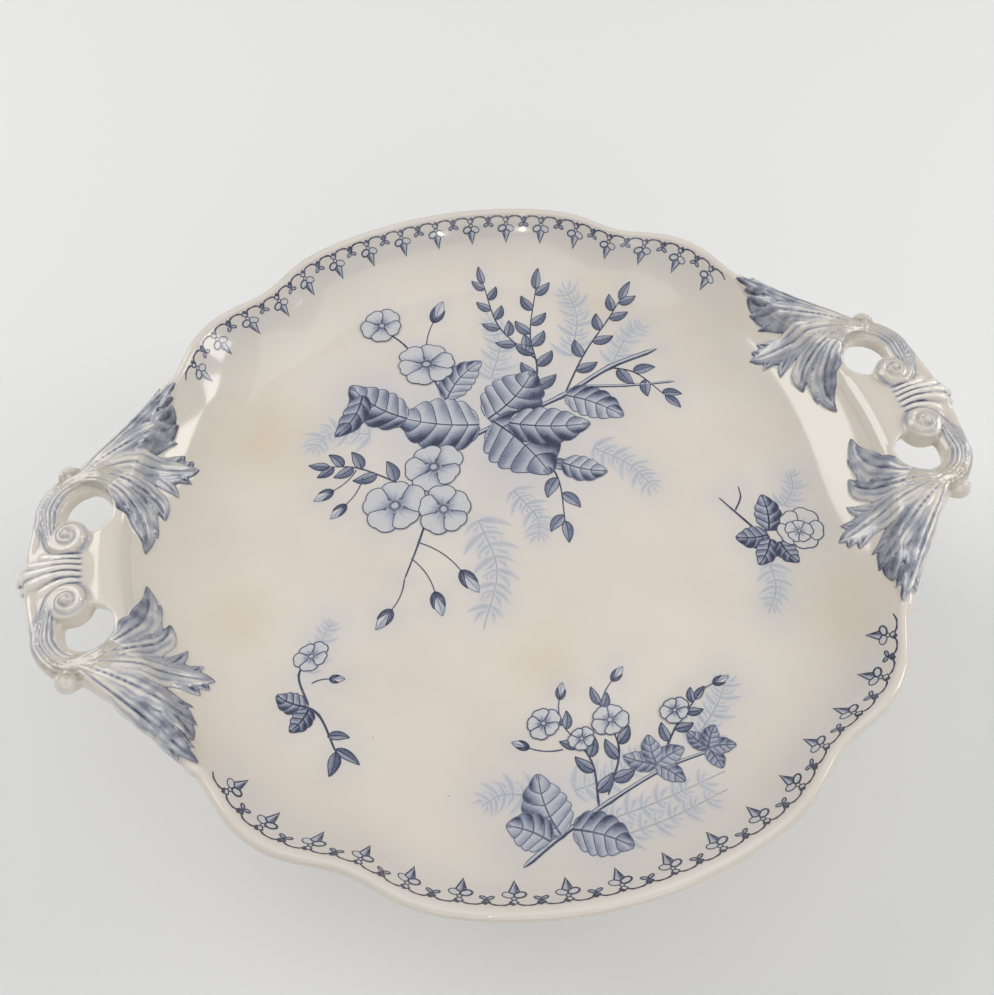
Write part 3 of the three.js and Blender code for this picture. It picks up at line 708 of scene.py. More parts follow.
# the disc that the turns of a volute are cut into
def drumField():
    h = handle
    away = np.hypot(gridX - voluteMiddle, gridY - h["voluteOffset"])
    cone = h["spiralRise"] * np.clip(1 - away / h["spiralRadius"], 0, 1)
    top = dish["rimHeight"] + h["strapThickness"] / 2 - h["drumSink"] + cone
    low = dish["rimHeight"] - h["strapThickness"] / 2 + h["drumFloor"]
    slab = np.maximum(gridZ - top[..., None], low - gridZ)
    side = (away - h["spiralRadius"] * h["drumShare"])[..., None]
    return softMax(side, slab, h["drumRound"]).astype(np.float32)


# Shells
shell = {
    "ribs": 5, "width": 4.2, "thickness": 5.0, "length": 26.0, "fall": 0.42, "rounding": 1.2, "stroke": 0.5,
    "strokeOver": 0.6, "rootStroke": (0.1, 0.2), "rootEnd": (0.56, 0.46), "tipTones": (0.3, 0.5),
    "tipRange": (0.72, 0.84), "tipStart": (0.3, 0.5),
    # share of a rib's length, height of its middle, and shares of its spread, width and thickness
    "stations": [(0.0, -1.6, 0.62, 0.62, 0.5), (0.16, 1.2, 0.57, 0.64, 0.8), (0.36, 3.6, 0.54, 0.66, 1.0),
                 (0.62, 3.6, 0.64, 0.85, 1.0), (0.86, 2.2, 0.86, 1.2, 1.1), (0.96, 0.0, 0.86, 1.02, 0.8)],
}


def shellRib(k):
    s = shell
    start, run = handle["reach"] - s["length"], s["length"] - s["rounding"] * k * k
    keys = []
    for along, height, spread, width, thick in s["stations"]:
        keys.append((start + run * along, s["width"] * spread * k, height - s["fall"] * k * k,
                     s["width"] * width, s["thickness"] * thick))
    return strapField(strapLayout(keys))


# the grid holds one half, so only the first rib past the middle is needed on the other
def shellField():
    field = shellRib(-1)
    for k in range((shell["ribs"] + 1) // 2):
        field = softMin(field, shellRib(k), joins["ribs"])
    return field


# dark brush strokes between the ribs, strongest near their roots
def shellStrokes():
    s = shell
    along = (gridX - handle["reach"] + s["length"]) / s["length"]
    shares, _, spreads, _, _ = zip(*s["stations"])
    spread = s["width"] * np.interp(along, shares, spreads)
    gap = np.abs(np.mod(gridY / spread, 1) - 0.5) * spread
    line = bell(gap, s["stroke"]) * (gridY < spread * s["ribs"] / 2 + s["strokeOver"])
    inner = smoothStep(*s["rootStroke"], along) * smoothStep(*s["rootEnd"], along)
    faint, gain = s["tipTones"]
    outer = (faint + gain * smoothStep(*s["tipRange"], along)) * smoothStep(*s["tipStart"], along)
    return line * np.maximum(inner, outer)


# distance to the dish, and how far below the middle of its wall
def dishField():
    radius, lift = plainRadius(gridX, gridY)
    height = gridZ - lift[..., None]
    capped = np.minimum(radius, wall["end"])
    upright = np.cos(wallSlope(capped))[..., None]
    beyond = (radius - capped)[..., None] * math.sin(wall["slope"])
    inner = (height - wallHeight(capped)[..., None]) * upright - beyond
    offX, offZ = radius[..., None] - rollCentre[0], height - rollCentre[1]
    ahead = offX * math.cos(wall["slope"]) + offZ * math.sin(wall["slope"])
    slab = np.abs(inner + dish["rimRoll"]) - dish["rimRoll"]
    gap = np.where(ahead > 0, np.hypot(offX, offZ) - dish["rimRoll"], slab)
    return gap.astype(np.float32), (-inner - dish["rimRoll"]).astype(np.float32)


# Leaves, placed by degrees from the handle's middle and distance inside the rim
leaf = {
    "root": (13.1, -15.0),
    # ribs run from the root: bend, tip, half width and blue shade
    "ribs": [
        (14.4, 10.0, 2.8, 9.9, 4.4, 0.46), (16.2, 11.6, 9.6, 14.4, 4.2, 0.4),
        (18.0, 8.6, 21.3, 20.9, 5.2, 0.3), (20.2, 3.2, 27.4, 9.5, 4.4, 0.4),
        (22.4, -2.0, 33.4, 3.4, 4.2, 0.42),
    ],
    # side lobes leave a rib at a share of its length: rib, share, tip, half width and blue shade
    "sides": [
        (0, 0.52, 6.1, 12.9, 2.8, 0.46), (1, 0.5, 12.6, 14.4, 2.6, 0.34), (1, 0.34, 7.6, 11.4, 2.4, 0.38),
        (2, 0.42, 14.6, 17.2, 3.0, 0.3), (2, 0.56, 18.0, 20.0, 2.6, 0.3), (2, 0.5, 22.9, 14.8, 3.0, 0.32),
        (2, 0.66, 22.6, 18.0, 2.2, 0.3), (3, 0.42, 24.4, 11.4, 2.8, 0.36), (3, 0.55, 29.8, 6.2, 2.6, 0.42),
        (4, 0.62, 31.0, 5.4, 2.4, 0.4), (4, 0.5, 31.5, -0.6, 2.8, 0.2),
    ],
    "height": 1.4, "swell": 2.6, "tipHeight": 0.9, "sideHeight": 0.94, "rootRise": (-0.02, 0.16),
    "edgeFall": 2.0, "offEdge": 0.95, "crownPower": 2.6, "endRound": 1.4, "broad": 1.12, "evenWidth": 0.9,
    "opening": (0.3, 0.7), "openingRange": (0.1, 0.6), "closing": (0.55, 0.455), "closingCurve": 1.25,
    "closingLeast": 0.02, "closingPower": 0.82, "notch": 0.22, "notchPace": 0.36, "notchTurn": 0.7,
    "vein": 0.5, "veinWidth": 0.45, "veinEnd": (0.97, 0.8), "streak": 0.22, "streakWidth": 0.42,
    "streakPlace": 0.5, "streakRange": (0.2, 0.45), "streakEnd": (0.86, 0.6), "streakStroke": 0.5,
    "beads": 2.3, "beaded": (1, 3), "beadEnd": (0.62, 0.4), "beadStroke": 0.9, "shadeRange": (0.26, 0.6),
    "lineSteps": 90,
}


def onRim(degrees, inset):
    turn = math.radians(degrees)
    radius = float(edgeRadius(turn)) - inset
    return np.array([radius * math.cos(turn), radius * math.sin(turn)])


def bentLine(start, bend, end, steps):
    t = np.linspace(0, 1, steps)[:, None]
    return start * (1 - t) ** 2 + 2 * bend * t * (1 - t) + end * t ** 2


# each lobe as its line, its start along the whole leaf, half width, shade and whether its vein is beaded
def leafLobes():
    root = onRim(*leaf["root"])
    lobes = []
    for index, (bendAngle, bendInset, tipAngle, tipInset, halfWidth, shade) in enumerate(leaf["ribs"]):
        line = bentLine(root, onRim(bendAngle, bendInset), onRim(tipAngle, tipInset), leaf["lineSteps"])
        lobes.append((line, 0.0, halfWidth, shade, index in leaf["beaded"]))
    for rib, begin, tipAngle, tipInset, halfWidth, shade in leaf["sides"]:
        line = lobes[rib][0]
        at = int(begin * (len(line) - 1))
        end = onRim(tipAngle, tipInset)
        ahead = (line[at + 1] - line[at]) / np.linalg.norm(line[at + 1] - line[at])
        bend = line[at] + 0.5 * np.linalg.norm(end - line[at]) * ahead
        lobes.append((bentLine(line[at], bend, end, leaf["lineSteps"]), begin, halfWidth, shade, False))
    return lobes


def lobeWidth(share, side, reach, halfWidth):
    f = leaf
    notches = np.abs(np.sin(share * reach * f["notchPace"] + np.sign(side) * f["notchTurn"]))
    narrow, gain = f["opening"]
    opening = narrow + gain * smoothStep(*f["openingRange"], share)
    start, run = f["closing"]
    taper = (np.maximum(share - start, 0) / run) ** f["closingCurve"]
    closing = np.clip(1 - taper, f["closingLeast"], 1) ** f["closingPower"]
    return f["broad"] * halfWidth * opening * (f["evenWidth"] + f["notch"] * notches) * closing


# height of the leaf over its bed, place along it, strength of its veins and blue shade
def leafRelief():
    top = np.full(gridX.shape, -leaf["edgeFall"])
    tip, veins, tone = (np.zeros(gridX.shape) for _ in range(3))
    for index, (line, begin, halfWidth, shade, beaded) in enumerate(leafLobes()):
        share, side, over = alongLine(line, gridX, gridY)
        whole = begin + (1 - begin) * share
        reach = np.linalg.norm(line[-1] - line[0])
        width = lobeWidth(share, side, reach, halfWidth)
        away = np.hypot(side, over * leaf["endRound"]) / width
        crown = leaf["height"] * (1 - whole) + leaf["tipHeight"] * whole
        crown = crown + leaf["swell"] * whole * (1 - whole)
        crown = crown * (smoothStep(*leaf["rootRise"], share) if begin == 0 else leaf["sideHeight"])
        dome = np.sqrt(np.clip(1 - away ** leaf["crownPower"], 0, 1))
        body = crown * dome - leaf["edgeFall"] * np.clip(away - 1, 0, 1)
        groove = bell(side, leaf["veinWidth"]) * smoothStep(*leaf["veinEnd"], share)
        streak = bell(np.abs(side) - leaf["streakPlace"] * width, leaf["streakWidth"])
        streak = streak * smoothStep(*leaf["streakEnd"], share) * smoothStep(*leaf["streakRange"], share)
        body -= (leaf["vein"] * groove + leaf["streak"] * streak) * (away < 1)
        owner = body > top
        beadEnd = smoothStep(*leaf["beadEnd"], share)
        beads = np.cos(2 * math.pi * share * reach / leaf["beads"]) * beadEnd * beaded
        # the strokes differ a little from lobe to lobe
        strength = 0.75 + 0.3 * math.sin(2.1 * index)
        stroke = groove * strength * smoothStep(0.06, 0.3 + 0.1 * math.sin(1.3 * index), whole)
        marks = np.maximum(stroke * (1 + leaf["beadStroke"] * beads), leaf["streakStroke"] * streak)
        shading = shade * smoothStep(*leaf["shadeRange"], whole) * (0.8 + 0.5 * np.sign(side) * away)
        tip = np.where(owner, whole, tip)
        veins = np.where(owner, marks, veins)
        tone = np.where(owner, shading, tone)
        top = np.maximum(top, body)
    return top, tip, veins, tone


# Skinning a field, and measures taken on its skin
def skin(field, mirrored):
    cell, low = handle["cell"], handle["low"]
    if mirrored:
        field = np.concatenate([field[:, :0:-1], field], 1)
        low = (low[0], -(field.shape[1] // 2) * cell, low[2])
    band = 3 * cell
    box = np.pad(np.clip(field, -band, band), 1, constant_values=band).astype(np.float32)
    grid = openvdb.FloatGrid(band)
    grid.copyFromArray(np.ascontiguousarray(box))
    points, quads = grid.convertToQuads(0.0)
    points = (np.asarray(points, float) - 1) * cell + np.array(low)
    quads = np.asarray(quads, int)
    corner = points[quads]
    volume = np.einsum("ij,ij->i", corner[:, 0], np.cross(corner[:, 1], corner[:, 2])).sum()
    return points, (quads if volume > 0 else quads[:, ::-1])


def settle(points, quads, rounds, share=0.5):
    edges = np.vstack([quads[:, [0, 1]], quads[:, [1, 2]], quads[:, [2, 3]], quads[:, [3, 0]]])
    first, second = edges.T
    size = len(points)
    count = np.bincount(first, minlength=size) + np.bincount(second, minlength=size)
    out = points.copy()
    for _ in range(rounds):
        total = np.zeros_like(out)
        for axis in range(3):
            total[:, axis] = (np.bincount(first, out[second, axis], size)
                              + np.bincount(second, out[first, axis], size))
        out = out + share * (total / np.maximum(count, 1)[:, None] - out)
    return out


def vertexNormals(points, quads):
    corner = points[quads]
    face = np.cross(corner[:, 2] - corner[:, 0], corner[:, 3] - corner[:, 1])
    total = np.zeros_like(points)
    for k in range(4):
        for axis in range(3):
            total[:, axis] += np.bincount(quads[:, k], face[:, axis], len(points))
    return total / np.maximum(np.linalg.norm(total, axis=1, keepdims=True), 1e-9)


# how deep each point lies in a hollow, in millimetres; below zero on a ridge
def hollowAt(points, quads, rounds):
    return ((settle(points, quads, rounds) - points) * vertexNormals(points, quads)).sum(1)


def sample(plan, points):
    x = np.clip((points[:, 0] - handle["low"][0]) / handle["cell"], 0, plan.shape[0] - 1.001)
    y = np.clip((np.abs(points[:, 1]) - handle["low"][1]) / handle["cell"], 0, plan.shape[1] - 1.001)
    i, j = x.astype(int), y.astype(int)
    u, v = x - i, y - j
    return (plan[i, j] * (1 - u) * (1 - v) + plan[i + 1, j] * u * (1 - v)
            + plan[i, j + 1] * (1 - u) * v + plan[i + 1, j + 1] * u * v)


# How softly the forms run into each other
joins = {
    "rail": 0.9, "horn": 1.2, "drum": 0.3, "web": 1.6, "knob": 1.6, "eye": 0.5, "ribs": 0.5,
    "leafOnHorn": 4.5, "leafOnWeb": 2.0, "leafOnStrap": 1.0, "leafInHandle": 0.6, "leafFillet": 0.7,
    "neckFillet": (0.5, 3.0), "neckRange": (14.0, 27.0), "sunk": 0.8, "touch": 0.05, "hornBelow": 1.5,
    "lapDepth": 0.5, "lapMiddle": 0.3, "lapWidth": 0.6, "handleLap": 0.4, "leafLap": 1.0, "filletMost": 0.9,
}
dishGap, belowWall = dishField()
sunk = -(dishGap + joins["sunk"])


def filleted(field, blend):
    joined = softMin(field, dishGap + joins["touch"], blend)
    return np.maximum(np.maximum(joined, sunk), field - blend * joins["filletMost"])


def knobField():
    h = handle
    reach = h["holeRadius"] + h["strapWidth"] - h["knobRadius"] * h["knobBite"]
    x = holeMiddle + reach * math.cos(h["knobTurn"])
    y = h["holeOffset"] + reach * math.sin(h["knobTurn"])
    return budField(x, y, h["knobLift"], h["knobRadius"], h["knobTurn"])


scroll = strapLayout(scrollKeys())
strapLines, voluteLines, strapBand = furrows(scroll), seams(scroll), strapCover(scroll)
horn = strapField(strapLayout(hornKeys()))
web = np.maximum(webField(), sunk)
rail = strapField(strapLayout(railKeys()))
eyeHeight = handle["strapThickness"] / 2 + handle["eyeLift"]
eye = ballField(voluteMiddle, handle["voluteOffset"], eyeHeight, handle["eyeRadius"])
arms = strapField(scroll, strapLines)
for join, form in (("rail", rail), ("horn", horn), ("drum", drumField()), ("web", web),
                   ("knob", knobField()), ("eye", eye)):
    arms = softMin(arms, form, joins[join])
neckLow, neckHigh = joins["neckFillet"]
neckFillet = neckLow + (neckHigh - neckLow) * smoothStep(*joins["neckRange"], gridY)
arms = filleted(arms, neckFillet[..., None])

# the leaf lies over dish, horn, panel and strap
leafTop, leafTip, leafVeins, leafTone = leafRelief()
bed = dishGap
for join, form in (("leafOnHorn", horn), ("leafOnWeb", web), ("leafOnStrap", strapField(scroll))):
    bed = softMin(bed, form, joins[join])
relief = (bed - leafTop[..., None]).astype(np.float32)
offLeaf = leafTop < -leaf["offEdge"] * leaf["edgeFall"]
relief = np.where(offLeaf[..., None], np.maximum(relief, leaf["edgeFall"]), relief)

# its outer part is one with the handle; each end dips under the other where the two pieces lap
overHorn = dishGap - horn
lapLow, lapHigh = joins["lapMiddle"] - joins["lapWidth"], joins["lapMiddle"] + joins["lapWidth"]
handleDip = joins["lapDepth"] * smoothStep(joins["lapMiddle"], lapLow, overHorn)
leafDip = joins["lapDepth"] * smoothStep(joins["lapMiddle"], lapHigh, overHorn)
belowHorn = dish["rimHeight"] - joins["hornBelow"] - gridZ
carved = softMin(arms, np.maximum(relief + handleDip, belowHorn), joins["leafInHandle"])
handleForm = np.maximum(np.where(overHorn > -joins["handleLap"], carved, arms), sunk)
leafForm = np.maximum(filleted(relief + leafDip, joins["leafFillet"]), overHorn - joins["leafLap"])
leafForm = np.maximum(leafForm, belowWall)
shellForm = np.maximum(shellField(), sunk)
ribLines = shellStrokes()
print("fields ready", arms.shape)


# the left pieces are the right ones, half a turn round
def sculpted(names, nodes, form, mirrored, material, tint, flip=False):
    points, quads = skin(form, mirrored)
    points = settle(points, quads, *handle["settle"])
    if flip:
        points, quads = points * (1, -1, 1), quads[:, ::-1]
    values = tint(points, quads)
    for name, node, turn in zip(names, nodes, (1, -1)):
        piece = meshPiece(name, points * (turn, turn, 1), quads, material)
        for key, value in values.items():
            paint(piece, key, value)
        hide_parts(node)
    print(*names, "built", len(quads))


# Brushwork: how strongly each form takes the blue, the grime and the painted highlight on its crests
brush = {
    "reeds": 0.36, "volutes": 0.40, "grooves": 0.24, "strap": 0.06, "ribs": 0.98, "leafRange": (27.0, 36.0),
    "ribReach": (160.0, 157.0), "reedGrime": 1.5, "voluteGrime": 1.0, "grooveGrime": 0.85, "wideGrime": 0.4,
    "faceGrime": 0.1, "strapGrime": 0.32, "topGrime": 0.16, "handleCrest": 0.4, "shellRibs": 0.95,
    "shellGrooves": 0.3, "shellGrime": 0.4, "shellCrest": 0.9, "leafCrest": 0.7, "leafBase": 0.04,
    "leafTips": 0.3, "leafVeins": 0.45, "leafEdge": 0.28, "leafHollows": 0.4, "leafWiped": 0.22,
    "fineRounds": 10, "wideRounds": 40, "shellRounds": 8, "leafRounds": 8,  # how wide a hollow is looked for
}


# blue on the leaf: in its veins, along its edge and at its tips, taken off its ridges partly as real wiping
# and partly as a painted highlight
def leafWash(points, deep):
    tip, veins, tone, top = (sample(plan, points) for plan in (leafTip, leafVeins, leafTone, leafTop))
    x, y = points[:, 0], points[:, 1]
    # slow waves that make the brushed blue patchy
    patch = 0.5 + 0.5 * np.sin(0.5 * x + 1.7 * np.sin(0.33 * y)) * np.sin(0.61 * y + 1.3 * np.sin(0.27 * x))
    amount = brush["leafBase"] + tone * (0.5 + 0.8 * patch) + brush["leafTips"] * smoothStep(0.82, 1.0, tip)
    amount = amount + brush["leafVeins"] * np.clip(veins, 0, 1)
    amount = amount + brush["leafEdge"] * bell(top - 0.4, 0.3) * smoothStep(0.4, 0.7, tip)
    amount = amount + brush["leafHollows"] * smoothStep(0.01, 0.15, deep)
    # less blue on the ridges: partly wiped off, partly a painted highlight
    amount = amount - brush["leafWiped"] * smoothStep(0.0, 0.16, -deep) * (1.3 - patch)
    return np.clip(amount, 0, 1) * smoothStep(0.02, 0.3, top)


def handleTint(points, quads):
    b = brush
    deep, wide = (hollowAt(points, quads, b[key]) for key in ("fineRounds", "wideRounds"))
    upright = vertexNormals(points, quads)[:, 2]
    facing, outward = smoothStep(0.05, 0.5, upright), smoothStep(-0.4, 0.1, upright)
    overRim = points[:, 2] - dish["rimHeight"]
    onLeaf = smoothStep(*b["leafRange"], np.abs(points[:, 1]))
    groove = smoothStep(0.012, 0.14, deep) * facing
    reeded, wound = sample(strapLines, points) * facing, sample(voluteLines, points) * facing
    banded = sample(strapBand, points) * outward
    lines = b["reeds"] * reeded + b["volutes"] * wound + b["grooves"] * groove + b["strap"] * banded
    onShell = smoothStep(0.0, 2.0, overRim) * smoothStep(*b["ribReach"], np.abs(points[:, 0]))
    amount = np.maximum(lines * (1 - onLeaf), leafWash(points, deep) * outward * onLeaf)
    amount = np.maximum(amount, b["ribs"] * sample(ribLines, points) * onShell)
    grime = groove + b["reedGrime"] * reeded + b["voluteGrime"] * wound
    # darker in the broad hollows, on top of the grime in the fine grooves
    grime = grime * b["grooveGrime"] * (1 - 0.6 * onLeaf) + smoothStep(0.1, 0.6, wide) * b["wideGrime"]
    grime = grime + b["faceGrime"] * facing + b["strapGrime"] * banded
    grime = grime + b["topGrime"] * smoothStep(1.0, 3.5, overRim) * (1 - onLeaf)
    # painted highlight on the ridges of the handle
    crest = smoothStep(0.0, 0.12, -deep) * b["handleCrest"]
    return {"wash": np.clip(amount, 0, 1), "grime": np.clip(grime, 0, 1), "crest": crest}


def shellTint(points, quads):
    deep = hollowAt(points, quads, brush["shellRounds"])
    amount = brush["shellRibs"] * sample(ribLines, points) * smoothStep(-0.1, 0.1, deep)
    amount = amount + brush["shellGrooves"] * smoothStep(0.02, 0.16, deep)
    grime = smoothStep(0.0, 0.2, deep) * brush["shellGrime"]
    # painted highlight on the ridges of the shell
    crest = smoothStep(0.0, 0.15, -deep) * brush["shellCrest"]
    return {"wash": np.clip(amount, 0, 1), "grime": grime, "crest": crest}


def leafTint(points, quads):
    deep = hollowAt(points, quads, brush["leafRounds"])
    height = points[:, 2] - surfaceHeight(points[:, 0], points[:, 1])
    amount = leafWash(points, deep) * smoothStep(0.02, 0.2, height)
    # painted highlight on the ridges of the leaf
    crest = smoothStep(0.0, 0.14, -deep) * brush["leafCrest"]
    return {"wash": amount, "grime": np.zeros(len(points)), "crest": crest}


sculpted(("rightHandle", "leftHandle"), ("right_handle", "left_handle"),
         handleForm, True, washedGlaze, handleTint)
sculpted(("rightShell", "leftShell"), ("right_shell", "left_shell"),
         shellForm, True, washedGlaze, shellTint)
sculpted(("rightLeafBack", "leftLeafFront"), ("right_leaf_back", "left_leaf_front"),
         leafForm, False, blueWash, leafTint)
sculpted(("rightLeafFront", "leftLeafBack"), ("right_leaf_front", "left_leaf_back"),
         leafForm, False, blueWash, leafTint, True)

# Print under the glaze: thin sheets of ink, one layer over the other
inkLayer = {"base": 0.07, "step": 0.016, "first": 2.6}
haloSpots = []  # x, y and reach of each place where the ink bleeds into the glaze
inkSheets = []


def onGlaze(u, v, lift):
    return onSurface(np.asarray(u, float), np.asarray(v, float), lift)


def newSheet(place):
    return {"place": place, "points": [], "faces": [], "tones": [], "count": 0, "level": inkLayer["first"]}


# each broad leaf and blossom is printed over the ones before it
def nextLevel(sheet, thickness):
    sheet["level"] += thickness
    return sheet["level"] - thickness


def addGrid(sheet, grid, tone, layer):
    rows, columns = grid.shape[:2]
    lift = inkLayer["base"] + inkLayer["step"] * layer
    flat = grid.reshape(-1, 2)
    sheet["points"].append(sheet["place"](flat[:, 0], flat[:, 1], lift))
    sheet["tones"].append(np.broadcast_to(tone, (rows, columns)).reshape(-1))
    cell = np.arange(rows * columns).reshape(rows, columns)
    quads = np.stack([cell[:-1, :-1], cell[1:, :-1], cell[1:, 1:], cell[:-1, 1:]], -1).reshape(-1, 4)
    corner = flat[quads[:, :3]]
    area = np.cross(corner[:, 1] - corner[:, 0], corner[:, 2] - corner[:, 0]).sum()
    quads = quads + sheet["count"]
    sheet["faces"].extend((quads if area > 0 else quads[:, ::-1]).tolist())
    sheet["count"] += rows * columns


# the ways along a line and to its left
def directions(line):
    ahead = np.gradient(line, axis=0)
    ahead = ahead / np.maximum(np.linalg.norm(ahead, axis=1, keepdims=True), 1e-9)
    return ahead, np.stack([-ahead[:, 1], ahead[:, 0]], 1)


def addRibbon(sheet, path, widths, tone, layer):
    path = np.asarray(path, float)
    side = directions(path)[1] * (np.broadcast_to(widths, len(path)) / 2)[:, None]
    tones = np.broadcast_to(tone, len(path))[:, None]
    addGrid(sheet, np.stack([path - side, path + side], 1), np.repeat(tones, 2, 1), layer)


def addSheet(name, sheet):
    piece = meshPiece(name, np.vstack(sheet["points"]), sheet["faces"], printInk)
    paint(piece, "tone", np.concatenate(sheet["tones"]))
    inkSheets.append(piece)
    print(name, len(sheet["faces"]))


def curveBetween(start, end, bend, steps):
    start, end = np.array(start, float), np.array(end, float)
    span = end - start
    middle = (start + end) / 2 + bend * np.array([-span[1], span[0]])
    return bentLine(start, middle, end, steps)


# points turned by an angle and moved to a centre
def placed(points, centre, turn):
    x, y = np.moveaxis(points, -1, 0)
    cosine, sine = math.cos(turn), math.sin(turn)
    return np.stack([centre[0] + x * cosine - y * sine, centre[1] + x * sine + y * cosine], -1)


def polar(radius, angle):
    return np.stack([radius * np.cos(angle), radius * np.sin(angle)], -1)


def leafGrid(line, half, u):
    return line[:, None] + directions(line)[1][:, None] * (half[:, None] * u[None])[..., None]


# outline and middle vein, each with its tone and layer
def addLeafLines(sheet, line, grid, style, outline, vein):
    for edge in (0, -1):
        addRibbon(sheet, grid[:, edge], style["edgeLine"], *outline)
    addRibbon(sheet, line, np.linspace(*style["midVein"], len(line)), *vein)


# Broad leaves: rounded panels between the side veins, each shaded from pale to dark
broad = {
    "rows": 49, "columns": 17, "thickness": 1.1, "stretch": 1.06, "sweep": 0.16, "sweepPower": 1.2,
    "shift": 0.3, "edgeLine": 0.32, "midVein": (0.85, 0.35), "sideVein": (0.45, 0.24), "veinSteps": 8,
    "veinReach": 0.97, "haloShare": 0.8,
}


def panelTone(u, panel, bend, tones):
    low, high = tones
    darkSide = np.sign(bend + 1e-6) * u[None]
    roll = (0.16 + 0.84 * np.abs(u)[None] ** 0.8) * (0.16 + 0.84 * (1 - panel) ** 0.9)
    weight = roll * (1.2 + 0.4 * darkSide) + 0.16 * darkSide + 0.2 * smoothStep(0.92, 1.0, panel)
    return np.clip(low + 0.03 + (high - low) * 1.06 * weight, 0.06, 1)


def broadLeaf(sheet, start, end, width, bend, tones, veins=5, scallop=0.15, fullness=0.76):
    b = broad
    layer = nextLevel(sheet, b["thickness"])
    line = curveBetween(start, end, bend, b["rows"])
    t, u = np.linspace(0, 1, b["rows"]), np.linspace(-1, 1, b["columns"])
    sweep = b["sweep"] * np.abs(u)[None] ** b["sweepPower"]
    phase = (t[:, None] * b["stretch"] - sweep) * veins + b["shift"]
    bulge = np.abs(np.sin(phase[:, 0] * math.pi)) ** 0.7 - 0.6
    half = width / 2 * np.sin(math.pi * np.clip(t, 0.002, 0.998) ** fullness) ** 0.55
    half = half * (1 + scallop * bulge) * (1 - 0.3 * smoothStep(0.7, 1.0, t))
    grid = leafGrid(line, half, u)
    addGrid(sheet, grid, panelTone(u, np.mod(phase, 1), bend, tones), layer)
    deep = min(1, tones[1])
    addLeafLines(sheet, line, grid, b, (deep * 0.9, layer + 0.6), (deep, layer + 0.9))
    along = np.linspace(0, 1, b["veinSteps"])
    rows = np.hstack([line, directions(line)[1]])
    for k in range(1, veins):
        at = ((k - b["shift"]) / veins + b["sweep"] * along ** b["sweepPower"]) / b["stretch"]
        at = np.clip(at, 0, 0.985)
        x, y, outX, outY = (np.interp(at, t, values) for values in rows.T)
        reach = np.interp(at, t, half) * along * b["veinReach"]
        for sign in (-1, 1):
            path = np.stack([x + outX * sign * reach, y + outY * sign * reach], 1)
            addRibbon(sheet, path, np.linspace(*b["sideVein"], b["veinSteps"]), deep, layer + 0.75)
    haloSpots.append((*line[b["rows"] // 2], width * b["haloShare"]))


# Slim leaves, buds and twigs
slim = {"rows": 13, "columns": 7, "edgeLine": 0.34, "midVein": (0.5, 0.24), "halo": 5}


def slimLeaf(sheet, start, end, width, bend=0.1, layer=1, tones=(0.35, 0.8)):
    line = curveBetween(start, end, bend, slim["rows"])
    t, u = np.linspace(0, 1, slim["rows"]), np.linspace(-1, 1, slim["columns"])
    half = width / 2 * np.sin(math.pi * np.clip(t, 0.001, 0.999) ** 0.75) ** 0.9
    grid = leafGrid(line, half, u)
    shade = tones[0] + (tones[1] - tones[0]) * (0.5 + 0.5 * u * np.sign(bend + 1e-6))
    addGrid(sheet, grid, shade[None], layer)
    deep = min(1, tones[1] + 0.12)
    addLeafLines(sheet, line, grid, slim, (deep, layer + 0.5), (deep, layer + 0.8))
    haloSpots.append((*line[slim["rows"] // 2], max(width, slim["halo"])))


def budOnStem(sheet, start, end, width, layer=2):
    line = curveBetween(start, end, 0.18, 9)
    addRibbon(sheet, line, np.linspace(0.5, 0.4, len(line)), 0.8, layer)
    base = line[-1]
    ahead = base - line[-4]
    tip = base + ahead / max(np.linalg.norm(ahead), 1e-6) * width * 1.9
    slimLeaf(sheet, base, tip, width, 0.06, layer + 0.3, (0.12, 0.42))
    for sign in (-1, 1):
        end = base + (tip - base) * 0.55 + sign * directions(line)[1][-1] * width * 0.5
        slimLeaf(sheet, line[-2], end, width * 0.42, 0.2 * sign, layer + 0.6, (0.6, 0.85))


# swells at each key, and has a pale streak where it is thick
def twig(sheet, keys, thick, thin, layer=1):
    line = smoothLine(keys, 9)
    t = np.linspace(0, 1, len(line))
    knots = 1 + 0.28 * bell((t * (len(keys) - 1) + 0.5) % 1 - 0.5, 0.07)
    ends = smoothStep(-0.02, 0.05, t) * smoothStep(1.02, 0.95, t)
    widths = 1.25 * (thick + (thin - thick) * t) * knots * ends
    addRibbon(sheet, line, widths, 0.9, layer)
    if thick > 1.1:
        streak = line + directions(line)[1] * 0.14 * widths[:, None]
        addRibbon(sheet, streak, 0.4 * widths, 0.26, layer + 1)
    haloSpots.extend((x, y, slim["halo"]) for x, y in line[::9])
    return line


# leaves in turn on both sides of a twig
def leafyTwig(sheet, keys, leaves, size, layer=1, tones=(0.4, 0.85)):
    line = twig(sheet, keys, 0.7, 0.32, layer)
    ahead, sideways = directions(line)
    first, last = 0.2, 0.97
    for k in range(leaves):
        sign = 1 if k % 2 else -1
        i = int((first + (last - first) * k / (leaves - 1)) * (len(line) - 1))
        long = size * (1.05 - 0.3 * k / leaves)
        end = line[i] + ahead[i] * long * 0.72 + sideways[i] * sign * long * 0.66
        slimLeaf(sheet, line[i], end, long * 0.48, 0.16 * sign, layer + 0.4, tones)
    slimLeaf(sheet, line[-1], line[-1] + ahead[-1] * size * 0.85, size * 0.36, 0.08, layer + 0.5, tones)


# Blossoms: open flowers of round petals, seen from the front
petal = {
    "columns": 13, "rows": 9, "start": 0.13, "overlap": 1.12, "thickness": 3.0, "step": 0.36,
    "edgeLine": 0.44, "edgeTone": 0.82, "spokeTone": 0.5, "spokeLine": (0.32, 0.12), "spokeSteps": 6,
    "spokes": [(-0.3, 0.48), (0.02, 0.6), (0.3, 0.42)],  # side and reach
    "eyes": [(0.2, 0.75), (0.11, 0.3)],  # radius and tone
    "eyeSteps": 13, "haloShare": 0.9,
}


